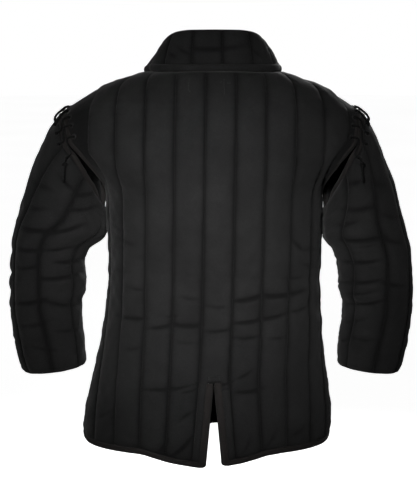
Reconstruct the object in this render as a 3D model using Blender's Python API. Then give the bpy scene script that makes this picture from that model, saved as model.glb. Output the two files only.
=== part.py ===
"""A padded, quilted gambeson, worn by nobody: hollow, with its sleeves laced on at the shoulders.

Metres. +X is the wearer's right, +Y the wearer's front, +Z up. The origin is in the middle of the neck opening,
level with the top of the shoulders, where the wearer's shoulders carry the garment.
Each cloth piece is a wall of two cloths with wadding between: a plain inner face, and an outer face raised in
channels between lines of quilting. All heights and widths below are those of the outer face.
"""

import math
from collections import namedtuple

import bmesh
import bpy
import numpy as np
from mathutils import Matrix, Vector
from mathutils.bvhtree import BVHTree

# Cloth
CLOTH = 0.0095          # the wall through the middle of a channel
QUILT_DEPTH = 0.0045    # how far a line of quilting lies below that
SEAM_GAP = 0.0003
PITCH = 0.056           # from one line of quilting to the next
CHANNEL_SIDE = 0.22     # share of a channel that rises from each line
ROUNDNESS = 2.2         # power of the body's sections: 2 is an ellipse

# Heights of the body
HEM_ROW = 0.018         # the hem's edge to where the wadding is full again
VENT_TOP = -0.580
ARMPIT = -0.250
SHOULDER_TIP = -0.080
NECK = -0.0055

# Bound edges
HEM_WIDE = 0.010
VENT_WIDE = 0.013
EDGE_WIDE = 0.007       # the front edges and both edges of each armhole
EDGE_THICK = 0.009
HEM_THICK = 0.010
VENT_ROLL = 0.0145      # the narrow channel beside each edge of the vent
VENT_OPEN = 0.030       # how far the vent's edges stand apart at the hem
VENT_REACH = 0.170      # how far the spread of the vent is felt across the back

# Collar
WELT_TALL = 0.014
WELT_THICK = 0.013
WELT_SETTLES = 0.44         # how far its rounded underside comes down past the neck's edge, per metre across it
COLLAR_THICK = 0.008
COLLAR_BULGE = 0.003
COLLAR_ROWS = (0.0, 0.30, 0.65, 0.92, 1.0)
COLLAR_RAISED = (0.0, 1.0, 1.0, 0.8, 0.3)
COLLAR_QUILT = 0.003
COLLAR_LIFT = 0.0013        # the foot of the collar above the welt
COLLAR_LINE = 0.0145        # from the middle of the back to the line of quilting right of it

# Lacing
LACE_RADIUS = 0.0020
LACE_SIDES = 5
HOLE_RADIUS = 0.0036
HOLE_SIDES = 7
BODY_EYELET = 0.009         # eyelet to the edge of the cloth
SLEEVE_EYELET = 0.0075
FRONT_FIRST = 0.030         # the neck to the first eyelet in front
FRONT_LACES = 8
FRONT_LACE_STEP = 0.056
FRONT_SLANT = 0.018
SHOULDER_LACE_LIFT = 0.0039     # the middle of the cord to the cloth, where it bends over the armhole
SHOULDER_KNOT_LIFT = 0.0040
FRONT_LACE_LIFT = 0.0026
LACE_OVER_BINDING = 0.0068

# A cord's ends: how far down the cloth from the eyelet, how far out from it, and how many times the cord's thickness.
# The shoulder's cord has a small knot outside, and each cord starts in a stopper knot inside.
Bend = namedtuple("Bend", "down lift thick")
KNOTTED_END = (Bend(0.007, 0.0040, 1.0), Bend(0.010, 0.0068, 2.3), Bend(0.015, 0.0068, 2.3), Bend(0.018, 0.0064, 1.0),
               Bend(0.046, 0.0075, 1.0))
STOPPER = (Bend(0.0, 0.0105, 1.0), Bend(0.0, 0.0078, 2.3), Bend(0.0, 0.0016, 2.3), Bend(0.0, -0.0010, 1.0))
FREE_END = (Bend(0.014, 0.0035, 1.0), Bend(0.030, 0.0050, 1.0))

TACK_UP = (0.003, 0.014)
TACK_ACROSS = (0.12, 0.88)
TACK_THICK = 0.0014

# Each stitch of the shoulder's lacing: the distances from the shoulder seam down the body's edge and down the
# sleeve's edge to its two eyelets.
Stitch = namedtuple("Stitch", "body sleeve")
LACES_BEHIND = (
    Stitch(0.012, 0.017), Stitch(0.031, 0.036), Stitch(0.050, 0.062), Stitch(0.067, 0.083), Stitch(0.090, 0.112),
)
LACES_BEFORE = (Stitch(0.012, 0.018), Stitch(0.032, 0.040), Stitch(0.052, 0.064), Stitch(0.072, 0.088))

# One row for each section of the body, from below the hem up to the neck. half_width is the whole section's, as if
# it ran on over the arm, and cut is where the armhole's edge lies on it behind; in front it is scooped in further.
# back and front are the depths at the middle, and sway is how far the section hangs to the wearer's left.
Section = namedtuple("Section", "height half_width cut scoop back front sway")
BODY = (
    Section(-0.760, 0.2440, 0.2440, 0.0, 0.169, 0.168, 0.018),
    Section(-0.700, 0.2415, 0.2415, 0.0, 0.165, 0.168, 0.015),
    Section(-0.658, 0.2390, 0.2390, 0.0, 0.162, 0.169, 0.012),
    Section(-0.599, 0.2285, 0.2285, 0.0, 0.156, 0.170, 0.009),
    Section(-0.560, 0.2215, 0.2215, 0.0, 0.151, 0.170, 0.007),
    Section(-0.520, 0.2140, 0.2140, 0.0, 0.146, 0.168, 0.005),
    Section(-0.482, 0.2100, 0.2100, 0.0, 0.141, 0.165, 0.003),
    Section(-0.440, 0.2060, 0.2060, 0.0, 0.138, 0.163, 0.001),
    Section(-0.401, 0.2030, 0.2030, 0.0, 0.139, 0.161, 0.0),
    Section(-0.360, 0.2038, 0.2038, 0.0, 0.142, 0.160, -0.001),
    Section(-0.320, 0.2050, 0.2050, 0.0, 0.146, 0.159, -0.001),
    Section(-0.280, 0.2068, 0.2068, 0.0, 0.150, 0.158, 0.0),
    Section(ARMPIT, 0.2080, 0.2080, 0.0, 0.152, 0.157, 0.0),
    Section(-0.237, 0.2095, 0.2085, 0.001, 0.153, 0.156, 0.0),
    Section(-0.222, 0.2160, 0.2105, 0.004, 0.153, 0.155, 0.0),
    Section(-0.206, 0.2340, 0.2175, 0.009, 0.153, 0.154, 0.0005),
    Section(-0.190, 0.2580, 0.2270, 0.013, 0.153, 0.152, 0.001),
    Section(-0.160, 0.2960, 0.2475, 0.016, 0.151, 0.147, 0.002),
    Section(-0.139, 0.3030, 0.2640, 0.015, 0.147, 0.142, 0.003),
    Section(-0.120, 0.3000, 0.2690, 0.011, 0.143, 0.137, 0.004),
    Section(-0.100, 0.2920, 0.2730, 0.005, 0.137, 0.131, 0.0045),
    Section(SHOULDER_TIP, 0.2810, 0.2810, 0.0, 0.130, 0.124, 0.005),
    Section(-0.068, 0.2640, 0.2640, 0.0, 0.125, 0.119, 0.005),
    Section(-0.057, 0.2470, 0.2470, 0.0, 0.121, 0.114, 0.005),
    Section(-0.039, 0.2165, 0.2165, 0.0, 0.112, 0.106, 0.005),
    Section(-0.026, 0.1840, 0.1840, 0.0, 0.105, 0.100, 0.004),
    Section(-0.0145, 0.1500, 0.1500, 0.0, 0.099, 0.095, 0.002),
    Section(NECK, 0.1190, 0.1190, 0.0, 0.0925, 0.090, 0.0),
)

# The line up the middle of the back: its quilting leans a little across the body.
CentreLine = namedtuple("CentreLine", "height across")
BACK_CENTRE = (CentreLine(-0.58, -0.001), CentreLine(-0.44, 0.0055), CentreLine(-0.06, 0.012))

# The edge of the cloth along the hem and along the neck in front, by distance round from the middle.
Level = namedtuple("Level", "around height")
BACK_HEM = (Level(0.0, -0.725), Level(0.06, -0.717), Level(0.13, -0.704), Level(0.26, -0.703), Level(0.34, -0.693))
FRONT_HEM = (Level(0.0, -0.720), Level(0.12, -0.710), Level(0.34, -0.693))
FRONT_NECK = (Level(0.0, -0.066), Level(0.05, -0.055), Level(0.093, -0.030), Level(0.13, -0.014))

# Rows of the grid: shares of the way from the hem to the armpit, then of the armhole's edge, from the shoulder down.
BELOW_ARMPIT = (0.12, 0.26, 0.37, 0.47, 0.56, 0.65, 0.76, 0.88, 1.0)
ARMHOLE_ROWS = (0.0, 0.09, 0.19, 0.30, 0.42, 0.56, 0.70, 0.85)
LAST_LINE = 4.5 * PITCH
SIDE_CHANNEL = 0.021        # the least width left between the last line of quilting and the armhole

# The large folds that the cloth hangs in: where their middle is, their reach across, and their depth.
Fold = namedtuple("Fold", "around height reach rise depth")
BACK_FOLDS = (
    Fold(-0.09, -0.462, 0.120, 0.026, 0.0040),
    Fold(0.13, -0.450, 0.110, 0.024, 0.0045),
    Fold(0.10, -0.395, 0.110, 0.024, 0.0030),
    Fold(-0.10, -0.560, 0.110, 0.024, 0.0025),
    Fold(0.15, -0.560, 0.110, 0.024, 0.0025),
)
FRONT_FOLDS = (
    Fold(-0.12, -0.455, 0.120, 0.026, 0.0040),
    Fold(0.12, -0.470, 0.120, 0.026, 0.0040),
)

# One row for each ring of the right sleeve: its outermost and innermost points seen from behind, how far forward its
# middle lies, half of its depth, how far each sleeve's quilting is turned there, in degrees, how much the ring still
# follows the armhole, and how much further out the left sleeve's two points lie.
Ring = namedtuple("Ring", "out_x out_z in_x in_z forward half_deep turn_left turn_right head more_out more_in")
SLEEVE = (
    Ring(0.3060, -0.1180, 0.2070, -0.2740, 0.000, 0.091, 26, -33, 1.0, 0.0, 0.0),
    Ring(0.3270, -0.1540, 0.2065, -0.2900, 0.000, 0.087, 20, -28, 0.70, 0.010, 0.0),
    Ring(0.3420, -0.2050, 0.2060, -0.3080, -0.002, 0.083, 10, -22, 0.30, 0.0145, 0.0),
    Ring(0.3520, -0.2560, 0.2095, -0.3280, -0.005, 0.079, 0, -17, 0.0, 0.0145, 0.007),
    Ring(0.3635, -0.3020, 0.2245, -0.3490, -0.008, 0.076, -7, -14, 0.0, 0.0165, 0.0150),
    Ring(0.3750, -0.3480, 0.2335, -0.3760, -0.010, 0.074, -8, -14, 0.0, 0.0120, 0.0130),
    Ring(0.3785, -0.3920, 0.2365, -0.4030, -0.009, 0.073, -8, -12, 0.0, 0.0110, 0.0065),
    Ring(0.3810, -0.4300, 0.2370, -0.4240, -0.006, 0.072, -7, -10, 0.0, 0.0100, 0.0080),
    Ring(0.3800, -0.4680, 0.2455, -0.4520, 0.001, 0.070, -4, -8, 0.0, 0.0120, 0.0080),
    Ring(0.3775, -0.5040, 0.2440, -0.4880, 0.009, 0.068, 0, -6, 0.0, 0.0115, 0.0100),
    Ring(0.3720, -0.5440, 0.2395, -0.5290, 0.018, 0.066, 2, -4, 0.0, 0.0125, 0.0115),
    Ring(0.3640, -0.5820, 0.2390, -0.5680, 0.026, 0.063, 2, -3, 0.0, 0.0115, 0.0100),
    Ring(0.3590, -0.5930, 0.2430, -0.5800, 0.029, 0.061, 2, -3, 0.0, 0.0115, 0.0100),
)
SLEEVE_CHANNELS = 7
SLEEVE_ROUNDNESS = 2.2
SLEEVE_CLOTH = 0.0085
SLEEVE_QUILT = 0.0042

# From the body's bare armhole edge to the sleeve's bare edge, by degrees from the shoulder to the armpit.
HeadGap = namedtuple("HeadGap", "turn out down")
HEAD_GAP = (
    HeadGap(0, 0.0165, 0.0080), HeadGap(60, 0.0175, 0.0075), HeadGap(100, 0.0195, 0.0080),
    HeadGap(135, 0.0210, 0.0110), HeadGap(160, 0.0150, 0.0150), HeadGap(180, 0.0092, 0.0160),
)

# The collar's top edge, by degrees from the middle of the back round to the front.
CollarTop = namedtuple("CollarTop", "turn wide deep height")
COLLAR_TOP = (
    CollarTop(0, 0.0, -0.0780, 0.0680), CollarTop(30, 0.0430, -0.0740, 0.0675), CollarTop(50, 0.0680, -0.0600, 0.0645),
    CollarTop(70, 0.0850, -0.0350, 0.0560), CollarTop(90, 0.0930, -0.0030, 0.0420), CollarTop(115, 0.0880, 0.0330, 0.0240),
    CollarTop(145, 0.0580, 0.0680, 0.0060), CollarTop(170, 0.0170, 0.0810, -0.0040), CollarTop(180, 0.0, 0.0820, -0.0050),
)

# Colours, as (red, green, blue), with how rough each is
BLACK_CLOTH = ((0.012, 0.012, 0.013), 0.92)
BLACK_BINDING = ((0.020, 0.017, 0.016), 0.88)
BLACK_CORD = ((0.006, 0.006, 0.006), 0.70)

Wall = namedtuple("Wall", "outer inner normals")


def clear_scene():
    for thing in list(bpy.data.objects):
        bpy.data.objects.remove(thing, do_unlink=True)


def finish_of(name, colour, rough):
    """The material of that name, made the first time it is asked for."""
    finish = bpy.data.materials.get(name)
    if finish is None:
        finish = bpy.data.materials.new(name)
        finish.use_nodes = True
        shader = finish.node_tree.nodes["Principled BSDF"]
        shader.inputs["Base Color"].default_value = (*colour, 1.0)
        shader.inputs["Roughness"].default_value = rough
        shader.inputs["Metallic"].default_value = 0.0
    return finish


def add_object(name, mesh_in_progress, finish):
    """Turns a closed bmesh into a named object with outward faces."""
    bmesh.ops.recalc_face_normals(mesh_in_progress, faces=mesh_in_progress.faces[:])
    if mesh_in_progress.calc_volume(signed=True) < 0:
        bmesh.ops.reverse_faces(mesh_in_progress, faces=mesh_in_progress.faces[:])
    mesh = bpy.data.meshes.new(name)
    mesh_in_progress.to_mesh(mesh)
    mesh_in_progress.free()
    mesh.materials.append(finish)
    made = bpy.data.objects.new(name, mesh)
    bpy.context.scene.collection.objects.link(made)
    return made


def smooth_value(knots, values, place):
    """A curve through the table's values that never swings past them."""
    knots = np.asarray(knots, float)
    values = np.asarray(values, float)
    place = min(max(place, knots[0]), knots[-1])
    steps = np.diff(knots)
    slopes = np.diff(values) / steps
    lean = np.zeros(len(knots))
    for i in range(1, len(knots) - 1):
        if slopes[i - 1] * slopes[i] > 0:
            lean[i] = 2 / (1 / slopes[i - 1] + 1 / slopes[i])
    lean[0] = slopes[0]
    lean[-1] = slopes[-1]
    i = min(int(np.searchsorted(knots, place, side="right")) - 1, len(steps) - 1)
    t = (place - knots[i]) / steps[i]
    start = values[i] * (1 + 2 * t) * (1 - t) ** 2 + lean[i] * steps[i] * t * (1 - t) ** 2
    end = values[i + 1] * t * t * (3 - 2 * t) + lean[i + 1] * steps[i] * t * t * (t - 1)
    return float(start + end)


def column_of(table, name, place):
    """The value of a table's named column at a place along its first column."""
    return smooth_value([row[0] for row in table], [getattr(row, name) for row in table], place)


SECTION_STEPS = 80
_outlines = {}


def section_outline(height, face):
    """(x, depth, distance round) along a quarter of the whole section, and the distance at which the cloth is cut."""
    key = (round(height, 6), face)
    if key not in _outlines:
        half_width = column_of(BODY, "half_width", height)
        cut = min(column_of(BODY, "cut", height), half_width)
        if face == "front":
            cut -= column_of(BODY, "scoop", height)
        depth = column_of(BODY, face, height)
        turn = np.linspace(0, math.pi / 2, SECTION_STEPS)
        x = half_width * np.sin(turn) ** (2 / ROUNDNESS)
        y = depth * np.clip(np.cos(turn), 0, 1) ** (2 / ROUNDNESS)
        y[-1] = 0.0
        around = np.concatenate([[0], np.cumsum(np.hypot(np.diff(x), np.diff(y)))])
        cut_round = around[-1] if cut == half_width else float(np.interp(cut, x, around))
        _outlines[key] = (x, y, around, cut_round)
    return _outlines[key]


def length_round(height, face):
    """Distance round from the middle of the body to the side seam or the armhole's edge."""
    return float(section_outline(height, face)[3])


def body_point(around, height, face):
    """The point on the body's outer face that lies that far round from the middle, right positive, at that height."""
    x, y, lengths, _ = section_outline(height, face)
    distance = min(abs(around), lengths[-1])
    side = 1 if around >= 0 else -1
    depth = float(np.interp(distance, lengths, y))
    sway = column_of(BODY, "sway", height)
    return np.array([
        side * float(np.interp(distance, lengths, x)) - sway,
        -depth if face == "back" else depth,
        height,
    ])


def body_normal(point, face):
    """The outward direction of the body's face at a point of it."""
    step = 0.002
    height = point[2]
    wide, deep = column_of(BODY, "half_width", height), column_of(BODY, face, height)
    low, high = max(height - step, BODY[0].height), min(height + step, BODY[-1].height)
    widening = (column_of(BODY, "half_width", high) - column_of(BODY, "half_width", low)) / (high - low)
    deepening = (column_of(BODY, face, high) - column_of(BODY, face, low)) / (high - low)
    x = point[0] + column_of(BODY, "sway", height)
    across, along = abs(x) / wide, abs(point[1]) / deep
    slope = np.array([
        math.copysign(across ** (ROUNDNESS - 1) / wide, x),
        math.copysign(along ** (ROUNDNESS - 1) / deep, point[1]),
        -(across ** ROUNDNESS * widening / wide + along ** ROUNDNESS * deepening / deep),
    ])
    return slope / np.linalg.norm(slope)


def top_of_column(around, face):
    """Where a column of the grid ends: on the neck's edge near the middle, further out on the shoulder seam."""
    distance = abs(around)
    neck_corner = length_round(NECK, face)
    if distance <= neck_corner:
        if face == "back":
            return NECK
        levels = (*FRONT_NECK, Level(neck_corner, NECK))
        return column_of(levels, "height", distance)
    low = SHOULDER_TIP
    high = NECK
    for _ in range(40):
        middle = (low + high) / 2
        if length_round(middle, face) > distance:
            low = middle
        else:
            high = middle
    return low


def fold_depth(folds, around, height):
    """How far the folds press the cloth in at a place."""
    pressed = 0.0
    for fold in folds:
        across = (around - fold.around) / fold.reach
        upward = (height - fold.height) / fold.rise
        pressed += fold.depth * math.exp(-across * across - upward * upward)
    return pressed


# A column of a panel's grid. kind says what place is measured from: "line" from the middle of the quilting, "corner"
# too, but it bends out to the corner of the neck above the armpit, "fixed" from the middle of the body, and "side" as a
# share of the way from the last line of quilting to the edge. raised says how full the wadding is there.
Column = namedtuple("Column", "kind place raised")


def half_columns(first_line, lines, face):
    """The columns of half a panel, from its first line of quilting out to the side."""
    corner = length_round(NECK, face)
    columns = []
    for i in range(lines - 1):
        start = first_line + i * PITCH
        columns.append(Column("line", start, 0.0))
        columns.append(Column("line", start + CHANNEL_SIDE * PITCH, 1.0))
        kind = "corner" if start < corner - 0.02 and start + PITCH > corner - 0.004 else "line"
        columns.append(Column(kind, start + (1 - CHANNEL_SIDE) * PITCH, 1.0))
    columns.append(Column("line", first_line + (lines - 1) * PITCH, 0.0))
    return columns + [Column("side", 0.30, 1.0), Column("side", 0.72, 1.0), Column("side", 1.0, 0.0)]


def quilt_centre(height, face):
    """How far round from the middle of the section the quilting's own middle lies."""
    if face == "front":
        return column_of(BODY, "sway", height)
    return column_of(BACK_CENTRE, "across", height) + column_of(BODY, "sway", height)


def place_round(column, side, height, face):
    """The signed distance round from the middle of the section at which a column lies at that height."""
    edge = length_round(height, face) - SEAM_GAP / 2
    if column.kind == "fixed":
        return side * min(column.place, edge)
    centre = quilt_centre(height, face)
    full = LAST_LINE + side * centre
    last = min(full, edge - (SIDE_CHANNEL if height <= SHOULDER_TIP else 0.0))
    if column.kind == "corner":
        placed = side * centre + column.place
        bent = min(1.0, max(0.0, (height - ARMPIT) / (SHOULDER_TIP - ARMPIT)))
        return side * min(placed + (length_round(NECK, face) - placed) * bent, edge)
    if column.kind == "line":
        placed = side * centre + column.place
        squeezed = full - PITCH
        if height <= SHOULDER_TIP and placed > squeezed:
            placed = squeezed + (placed - squeezed) * (last - squeezed) / (full - squeezed)
        return side * min(placed, edge)
    return side * (last + (edge - last) * column.place)


def armhole_heights(face):
    """Heights of the rows above the armpit, where they meet the armhole's edge."""
    heights = np.linspace(SHOULDER_TIP, ARMPIT, 60)
    points = np.array([body_point(length_round(h, face), h, face) for h in heights])
    lengths = np.concatenate([[0], np.cumsum(np.linalg.norm(np.diff(points, axis=0), axis=1))])
    stops = [share * lengths[-1] for share in ARMHOLE_ROWS]
    return [float(np.interp(stop, lengths, heights)) for stop in reversed(stops)]


def column_heights(column, side, face, hem):
    """Heights of a column's rows, from the hem up."""
    low = column_of(hem, "height", abs(place_round(column, side, -0.70, face)))
    line_top = top_of_column(place_round(Column("line", LAST_LINE, 0.0), side, SHOULDER_TIP, face), face)
    if column.kind == "side":
        high = line_top + (SHOULDER_TIP - line_top) * column.place
    else:
        high = top_of_column(place_round(column, side, SHOULDER_TIP, face), face)
    heights = [low, low + HEM_ROW]
    heights += [low + HEM_ROW + (ARMPIT - low - HEM_ROW) * share for share in BELOW_ARMPIT]
    shares = [(height - ARMPIT) / (SHOULDER_TIP - ARMPIT) for height in armhole_heights(face)]
    return heights + [ARMPIT + (high - ARMPIT) * share for share in shares]


def panel_grid(columns, sides, face, hem, folds):
    """(crest points, how full each is, outward directions) for a panel of the body, its rows running from the hem up."""
    rows = 2 + len(BELOW_ARMPIT) + len(ARMHOLE_ROWS)
    armpit_row = rows - 1 - len(ARMHOLE_ROWS)
    crest = np.zeros((rows, len(columns), 3))
    normals = np.zeros((rows, len(columns), 3))
    raised = np.zeros((rows, len(columns)))
    neck_corner = length_round(NECK, face) - 0.001
    for j, (column, side) in enumerate(zip(columns, sides)):
        for i, height in enumerate(column_heights(column, side, face, hem)):
            around = place_round(column, side, height, face)
            edge = length_round(height, face) - SEAM_GAP / 2
            if i == rows - 1 and abs(around) > neck_corner:
                around = side * edge
            elif column.kind == "side" and i > armpit_row:
                share = ((i - armpit_row) / (rows - 1 - armpit_row)) ** 6
                around += (side * edge - around) * share
            full = 0.0 if i in (0, rows - 1) else column.raised
            if column.kind == "side":
                full *= min(1.0, max(0.0, (ARMPIT + 0.03 - height) / 0.05))
            point = body_point(around + vent_spread(around, height, face), height, face)
            normals[i, j] = body_normal(point, face)
            if column.place != 1.0:
                point -= normals[i, j] * fold_depth(folds, around, height)
            crest[i, j] = point
            raised[i, j] = full
    return crest, raised, normals


def vent_spread(around, height, face):
    """How far the open vent pushes the back's cloth aside."""
    if face == "front" or height > VENT_TOP:
        return 0.0
    centre = quilt_centre(height, face)
    share = (VENT_TOP - height) / (VENT_TOP - BACK_HEM[0].height)
    fade = max(0.0, 1 - abs(around - centre) / VENT_REACH)
    side = 1 if around >= centre else -1
    return side * share * fade * VENT_OPEN / 2


def wall_of(crest, raised, normals, quilt=QUILT_DEPTH, cloth=CLOTH):
    """The outer and inner points of a cloth wall whose fullest places reach the crest points."""
    outer = crest - normals * (quilt * (1 - raised))[:, :, None]
    inner = crest - normals * cloth
    return Wall(outer, inner, normals)


def tube_normals(crest):
    """Outward directions of a tube of points whose columns run round it."""
    across = np.roll(crest, -1, axis=1) - np.roll(crest, 1, axis=1)
    normals = np.cross(across, np.gradient(crest, axis=0))
    normals /= np.linalg.norm(normals, axis=2, keepdims=True)
    middles = crest.mean(axis=1, keepdims=True)
    return -normals if (normals * (crest - middles)).sum() < 0 else normals


def flat_pattern(rows, columns):
    """A flat sheet of quads, and for each corner its row and column."""
    pattern = bmesh.new()
    bmesh.ops.create_grid(pattern, x_segments=columns - 1, y_segments=rows - 1, size=1.0)
    places = {
        corner: (round((corner.co.y + 1) / 2 * (rows - 1)), round((corner.co.x + 1) / 2 * (columns - 1)))
        for corner in pattern.verts
    }
    return pattern, places


def tube_pattern(rows, columns):
    """A plain tube of quads, and for each corner its row and column."""
    pattern = bmesh.new()
    spine = [pattern.verts.new((1.0, 0.0, float(row))) for row in range(rows)]
    edges = [pattern.edges.new(pair) for pair in zip(spine, spine[1:])]
    bmesh.ops.spin(pattern, geom=spine + edges, cent=(0, 0, 0), axis=(0, 0, 1), angle=2 * math.pi,
                   steps=columns, use_merge=True)
    places = {
        corner: (round(corner.co.z), round(math.atan2(corner.co.y, corner.co.x) / (2 * math.pi) * columns) % columns)
        for corner in pattern.verts
    }
    return pattern, places


def sew_wall(name, wall, finish, round_it=False, left_out=()):
    """A closed cloth wall between a Wall's outer and inner points. left_out lists (row, column) quads that are cut."""
    rows, columns = wall.outer.shape[:2]
    pattern, places = tube_pattern(rows, columns) if round_it else flat_pattern(rows, columns)
    gone = [
        face for face in pattern.faces
        if (min(places[c][0] for c in face.verts), min(places[c][1] for c in face.verts)) in left_out
    ]
    bmesh.ops.delete(pattern, geom=gone, context="FACES")
    kept = {corner: places[corner] for corner in pattern.verts}
    raised = bmesh.ops.extrude_face_region(pattern, geom=pattern.faces[:], use_keep_orig=True)
    lifted = [part for part in raised["geom"] if isinstance(part, bmesh.types.BMVert)]
    nearest = {tuple(round(value, 4) for value in corner.co): place for corner, place in kept.items()}
    for corner in lifted:
        place = nearest[tuple(round(value, 4) for value in corner.co)]
        kept[corner] = ("outer", *place)
    for corner, place in kept.items():
        points = wall.outer if place[0] == "outer" else wall.inner
        corner.co = Vector(points[place[-2], place[-1]])
    return add_object(name, pattern, finish)


def bound_edge(name, middles, normals, reaches, thick, finish, closed=False, sides=6, gap=SEAM_GAP):
    """A rolled binding along an edge. reaches are the vectors from the edge across the binding's whole width."""
    count = len(middles)
    shape = tube_pattern(count + (1 if closed else 0), sides)
    pattern, places = shape
    for corner, (row, column) in places.items():
        i = row % count
        turn = 2 * math.pi * column / sides
        reach = reaches[i]
        centre = middles[i] + reach / np.linalg.norm(reach) * gap + reach / 2
        corner.co = Vector(centre + reach / 2 * math.cos(turn) + normals[i] * (thick / 2) * math.sin(turn))
    if closed:
        bmesh.ops.remove_doubles(pattern, verts=pattern.verts[:], dist=1e-6)
    else:
        bmesh.ops.holes_fill(pattern, edges=[edge for edge in pattern.edges if edge.is_boundary], sides=0)
    return add_object(name, pattern, finish)


def edge_frame(points, normals, inside, closed=False):
    """Unit vectors that point away from the cloth along its edge."""
    if closed:
        along = np.roll(points, -1, axis=0) - np.roll(points, 1, axis=0)
    else:
        along = np.gradient(points, axis=0)
    away = np.cross(along, normals)
    away /= np.linalg.norm(away, axis=1, keepdims=True)
    wrong = ((points - inside) * away).sum() < 0
    return -away if wrong else away


def tube_along(name, points, radii, finish):
    """A cord along a list of points, as many times LACE_RADIUS thick at each as radii says, with closed ends."""
    points = [Vector(point) for point in points]
    pattern, places = tube_pattern(len(points), LACE_SIDES)
    aims = []
    for i in range(len(points)):
        before = points[i] - points[max(i - 1, 0)]
        after = points[min(i + 1, len(points) - 1)] - points[i]
        aims.append((before.normalized() + after.normalized()).normalized())
    side = aims[0].orthogonal().normalized()
    frames = []
    for i, aim in enumerate(aims):
        if i:
            side = aims[i - 1].rotation_difference(aim) @ side
        side = (side - aim * side.dot(aim)).normalized()
        frames.append((side, aim.cross(side)))
    for corner, (row, column) in places.items():
        turn = 2 * math.pi * column / LACE_SIDES
        across, over = frames[row]
        spread = across * math.cos(turn) + over * math.sin(turn)
        corner.co = points[row] + spread * (LACE_RADIUS * radii[row])
    bmesh.ops.holes_fill(pattern, edges=[edge for edge in pattern.edges if edge.is_boundary], sides=0)
    return add_object(name, pattern, finish)


def back_columns():
    """The back's columns and their sides, from the wearer's left to the right, with those of the vent's edges."""
    beside = PITCH / 2 - VENT_ROLL / 2
    edge = PITCH / 2 - VENT_ROLL
    half = [Column("line", edge, 1.0), Column("line", beside, 1.0)] + half_columns(PITCH / 2, 5, "back")
    return list(reversed(half)) + half, [-1] * len(half) + [1] * len(half)


def sew_back(finish):
    columns, sides = back_columns()
    crest, raised, normals = panel_grid(columns, sides, "back", BACK_HEM, BACK_FOLDS)
    middle = len(columns) // 2
    vent_rows = int((crest[:, middle, 2] < VENT_TOP + 0.015).sum()) - 1
    crest[vent_rows, middle - 1:middle + 1, 2] = VENT_TOP
    raised[:vent_rows + 1, middle - 1:middle + 1] = 0.2
    wall = wall_of(crest, raised, normals)
    panel = sew_wall("back", wall, finish, left_out={(row, middle - 1) for row in range(vent_rows)})
    return wall, vent_rows, panel


def sew_front(side, finish):
    """One front, its columns running from its front edge to the side."""
    columns = [Column("fixed", EDGE_WIDE + 2 * SEAM_GAP, 0.0)] + half_columns(PITCH / 2 + 0.002, 5, "front")
    crest, raised, normals = panel_grid(columns, [side] * len(columns), "front", FRONT_HEM, FRONT_FOLDS)
    wall = wall_of(crest, raised, normals)
    return wall, sew_wall("front_right" if side > 0 else "front_left", wall, finish)


def neck_line(back, front_left, front_right):
    """(outer points, middles, outward level normals) of the neck's edge, from the left front edge to the right."""
    points, middles = [], []
    for wall, backward in ((front_left, False), (back, False), (front_right, True)):
        row = wall.outer[-1]
        on_shoulder = np.abs(row[:, 1]) < 0.001
        corner = np.abs(row[on_shoulder, 0]).min() + 1e-5
        kept = ~on_shoulder | (np.abs(row[:, 0]) < corner)
        row, middle = row[kept], ((wall.outer[-1] + wall.inner[-1]) / 2)[kept]
        points += list(row[::-1] if backward else row)
        middles += list(middle[::-1] if backward else middle)
    apart = [0]
    for i in range(1, len(points)):
        if np.linalg.norm(points[i] - points[apart[-1]]) > 0.004:
            apart.append(i)
    points, middles = np.array(points)[apart], np.array(middles)[apart]
    along = np.gradient(points, axis=0)
    outward = np.stack([along[:, 1], -along[:, 0], np.zeros(len(points))], axis=1)
    outward /= np.linalg.norm(outward, axis=1, keepdims=True)
    if (outward * points).sum() < 0:
        outward = -outward
    return points, middles, outward


def spaced(points, step_or_places):
    """Points along a line at the given distances from its start."""
    lengths = np.concatenate([[0], np.cumsum(np.linalg.norm(np.diff(points, axis=0), axis=1))])
    return np.stack([np.interp(step_or_places, lengths, points[:, axis]) for axis in range(3)], axis=1)


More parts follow.
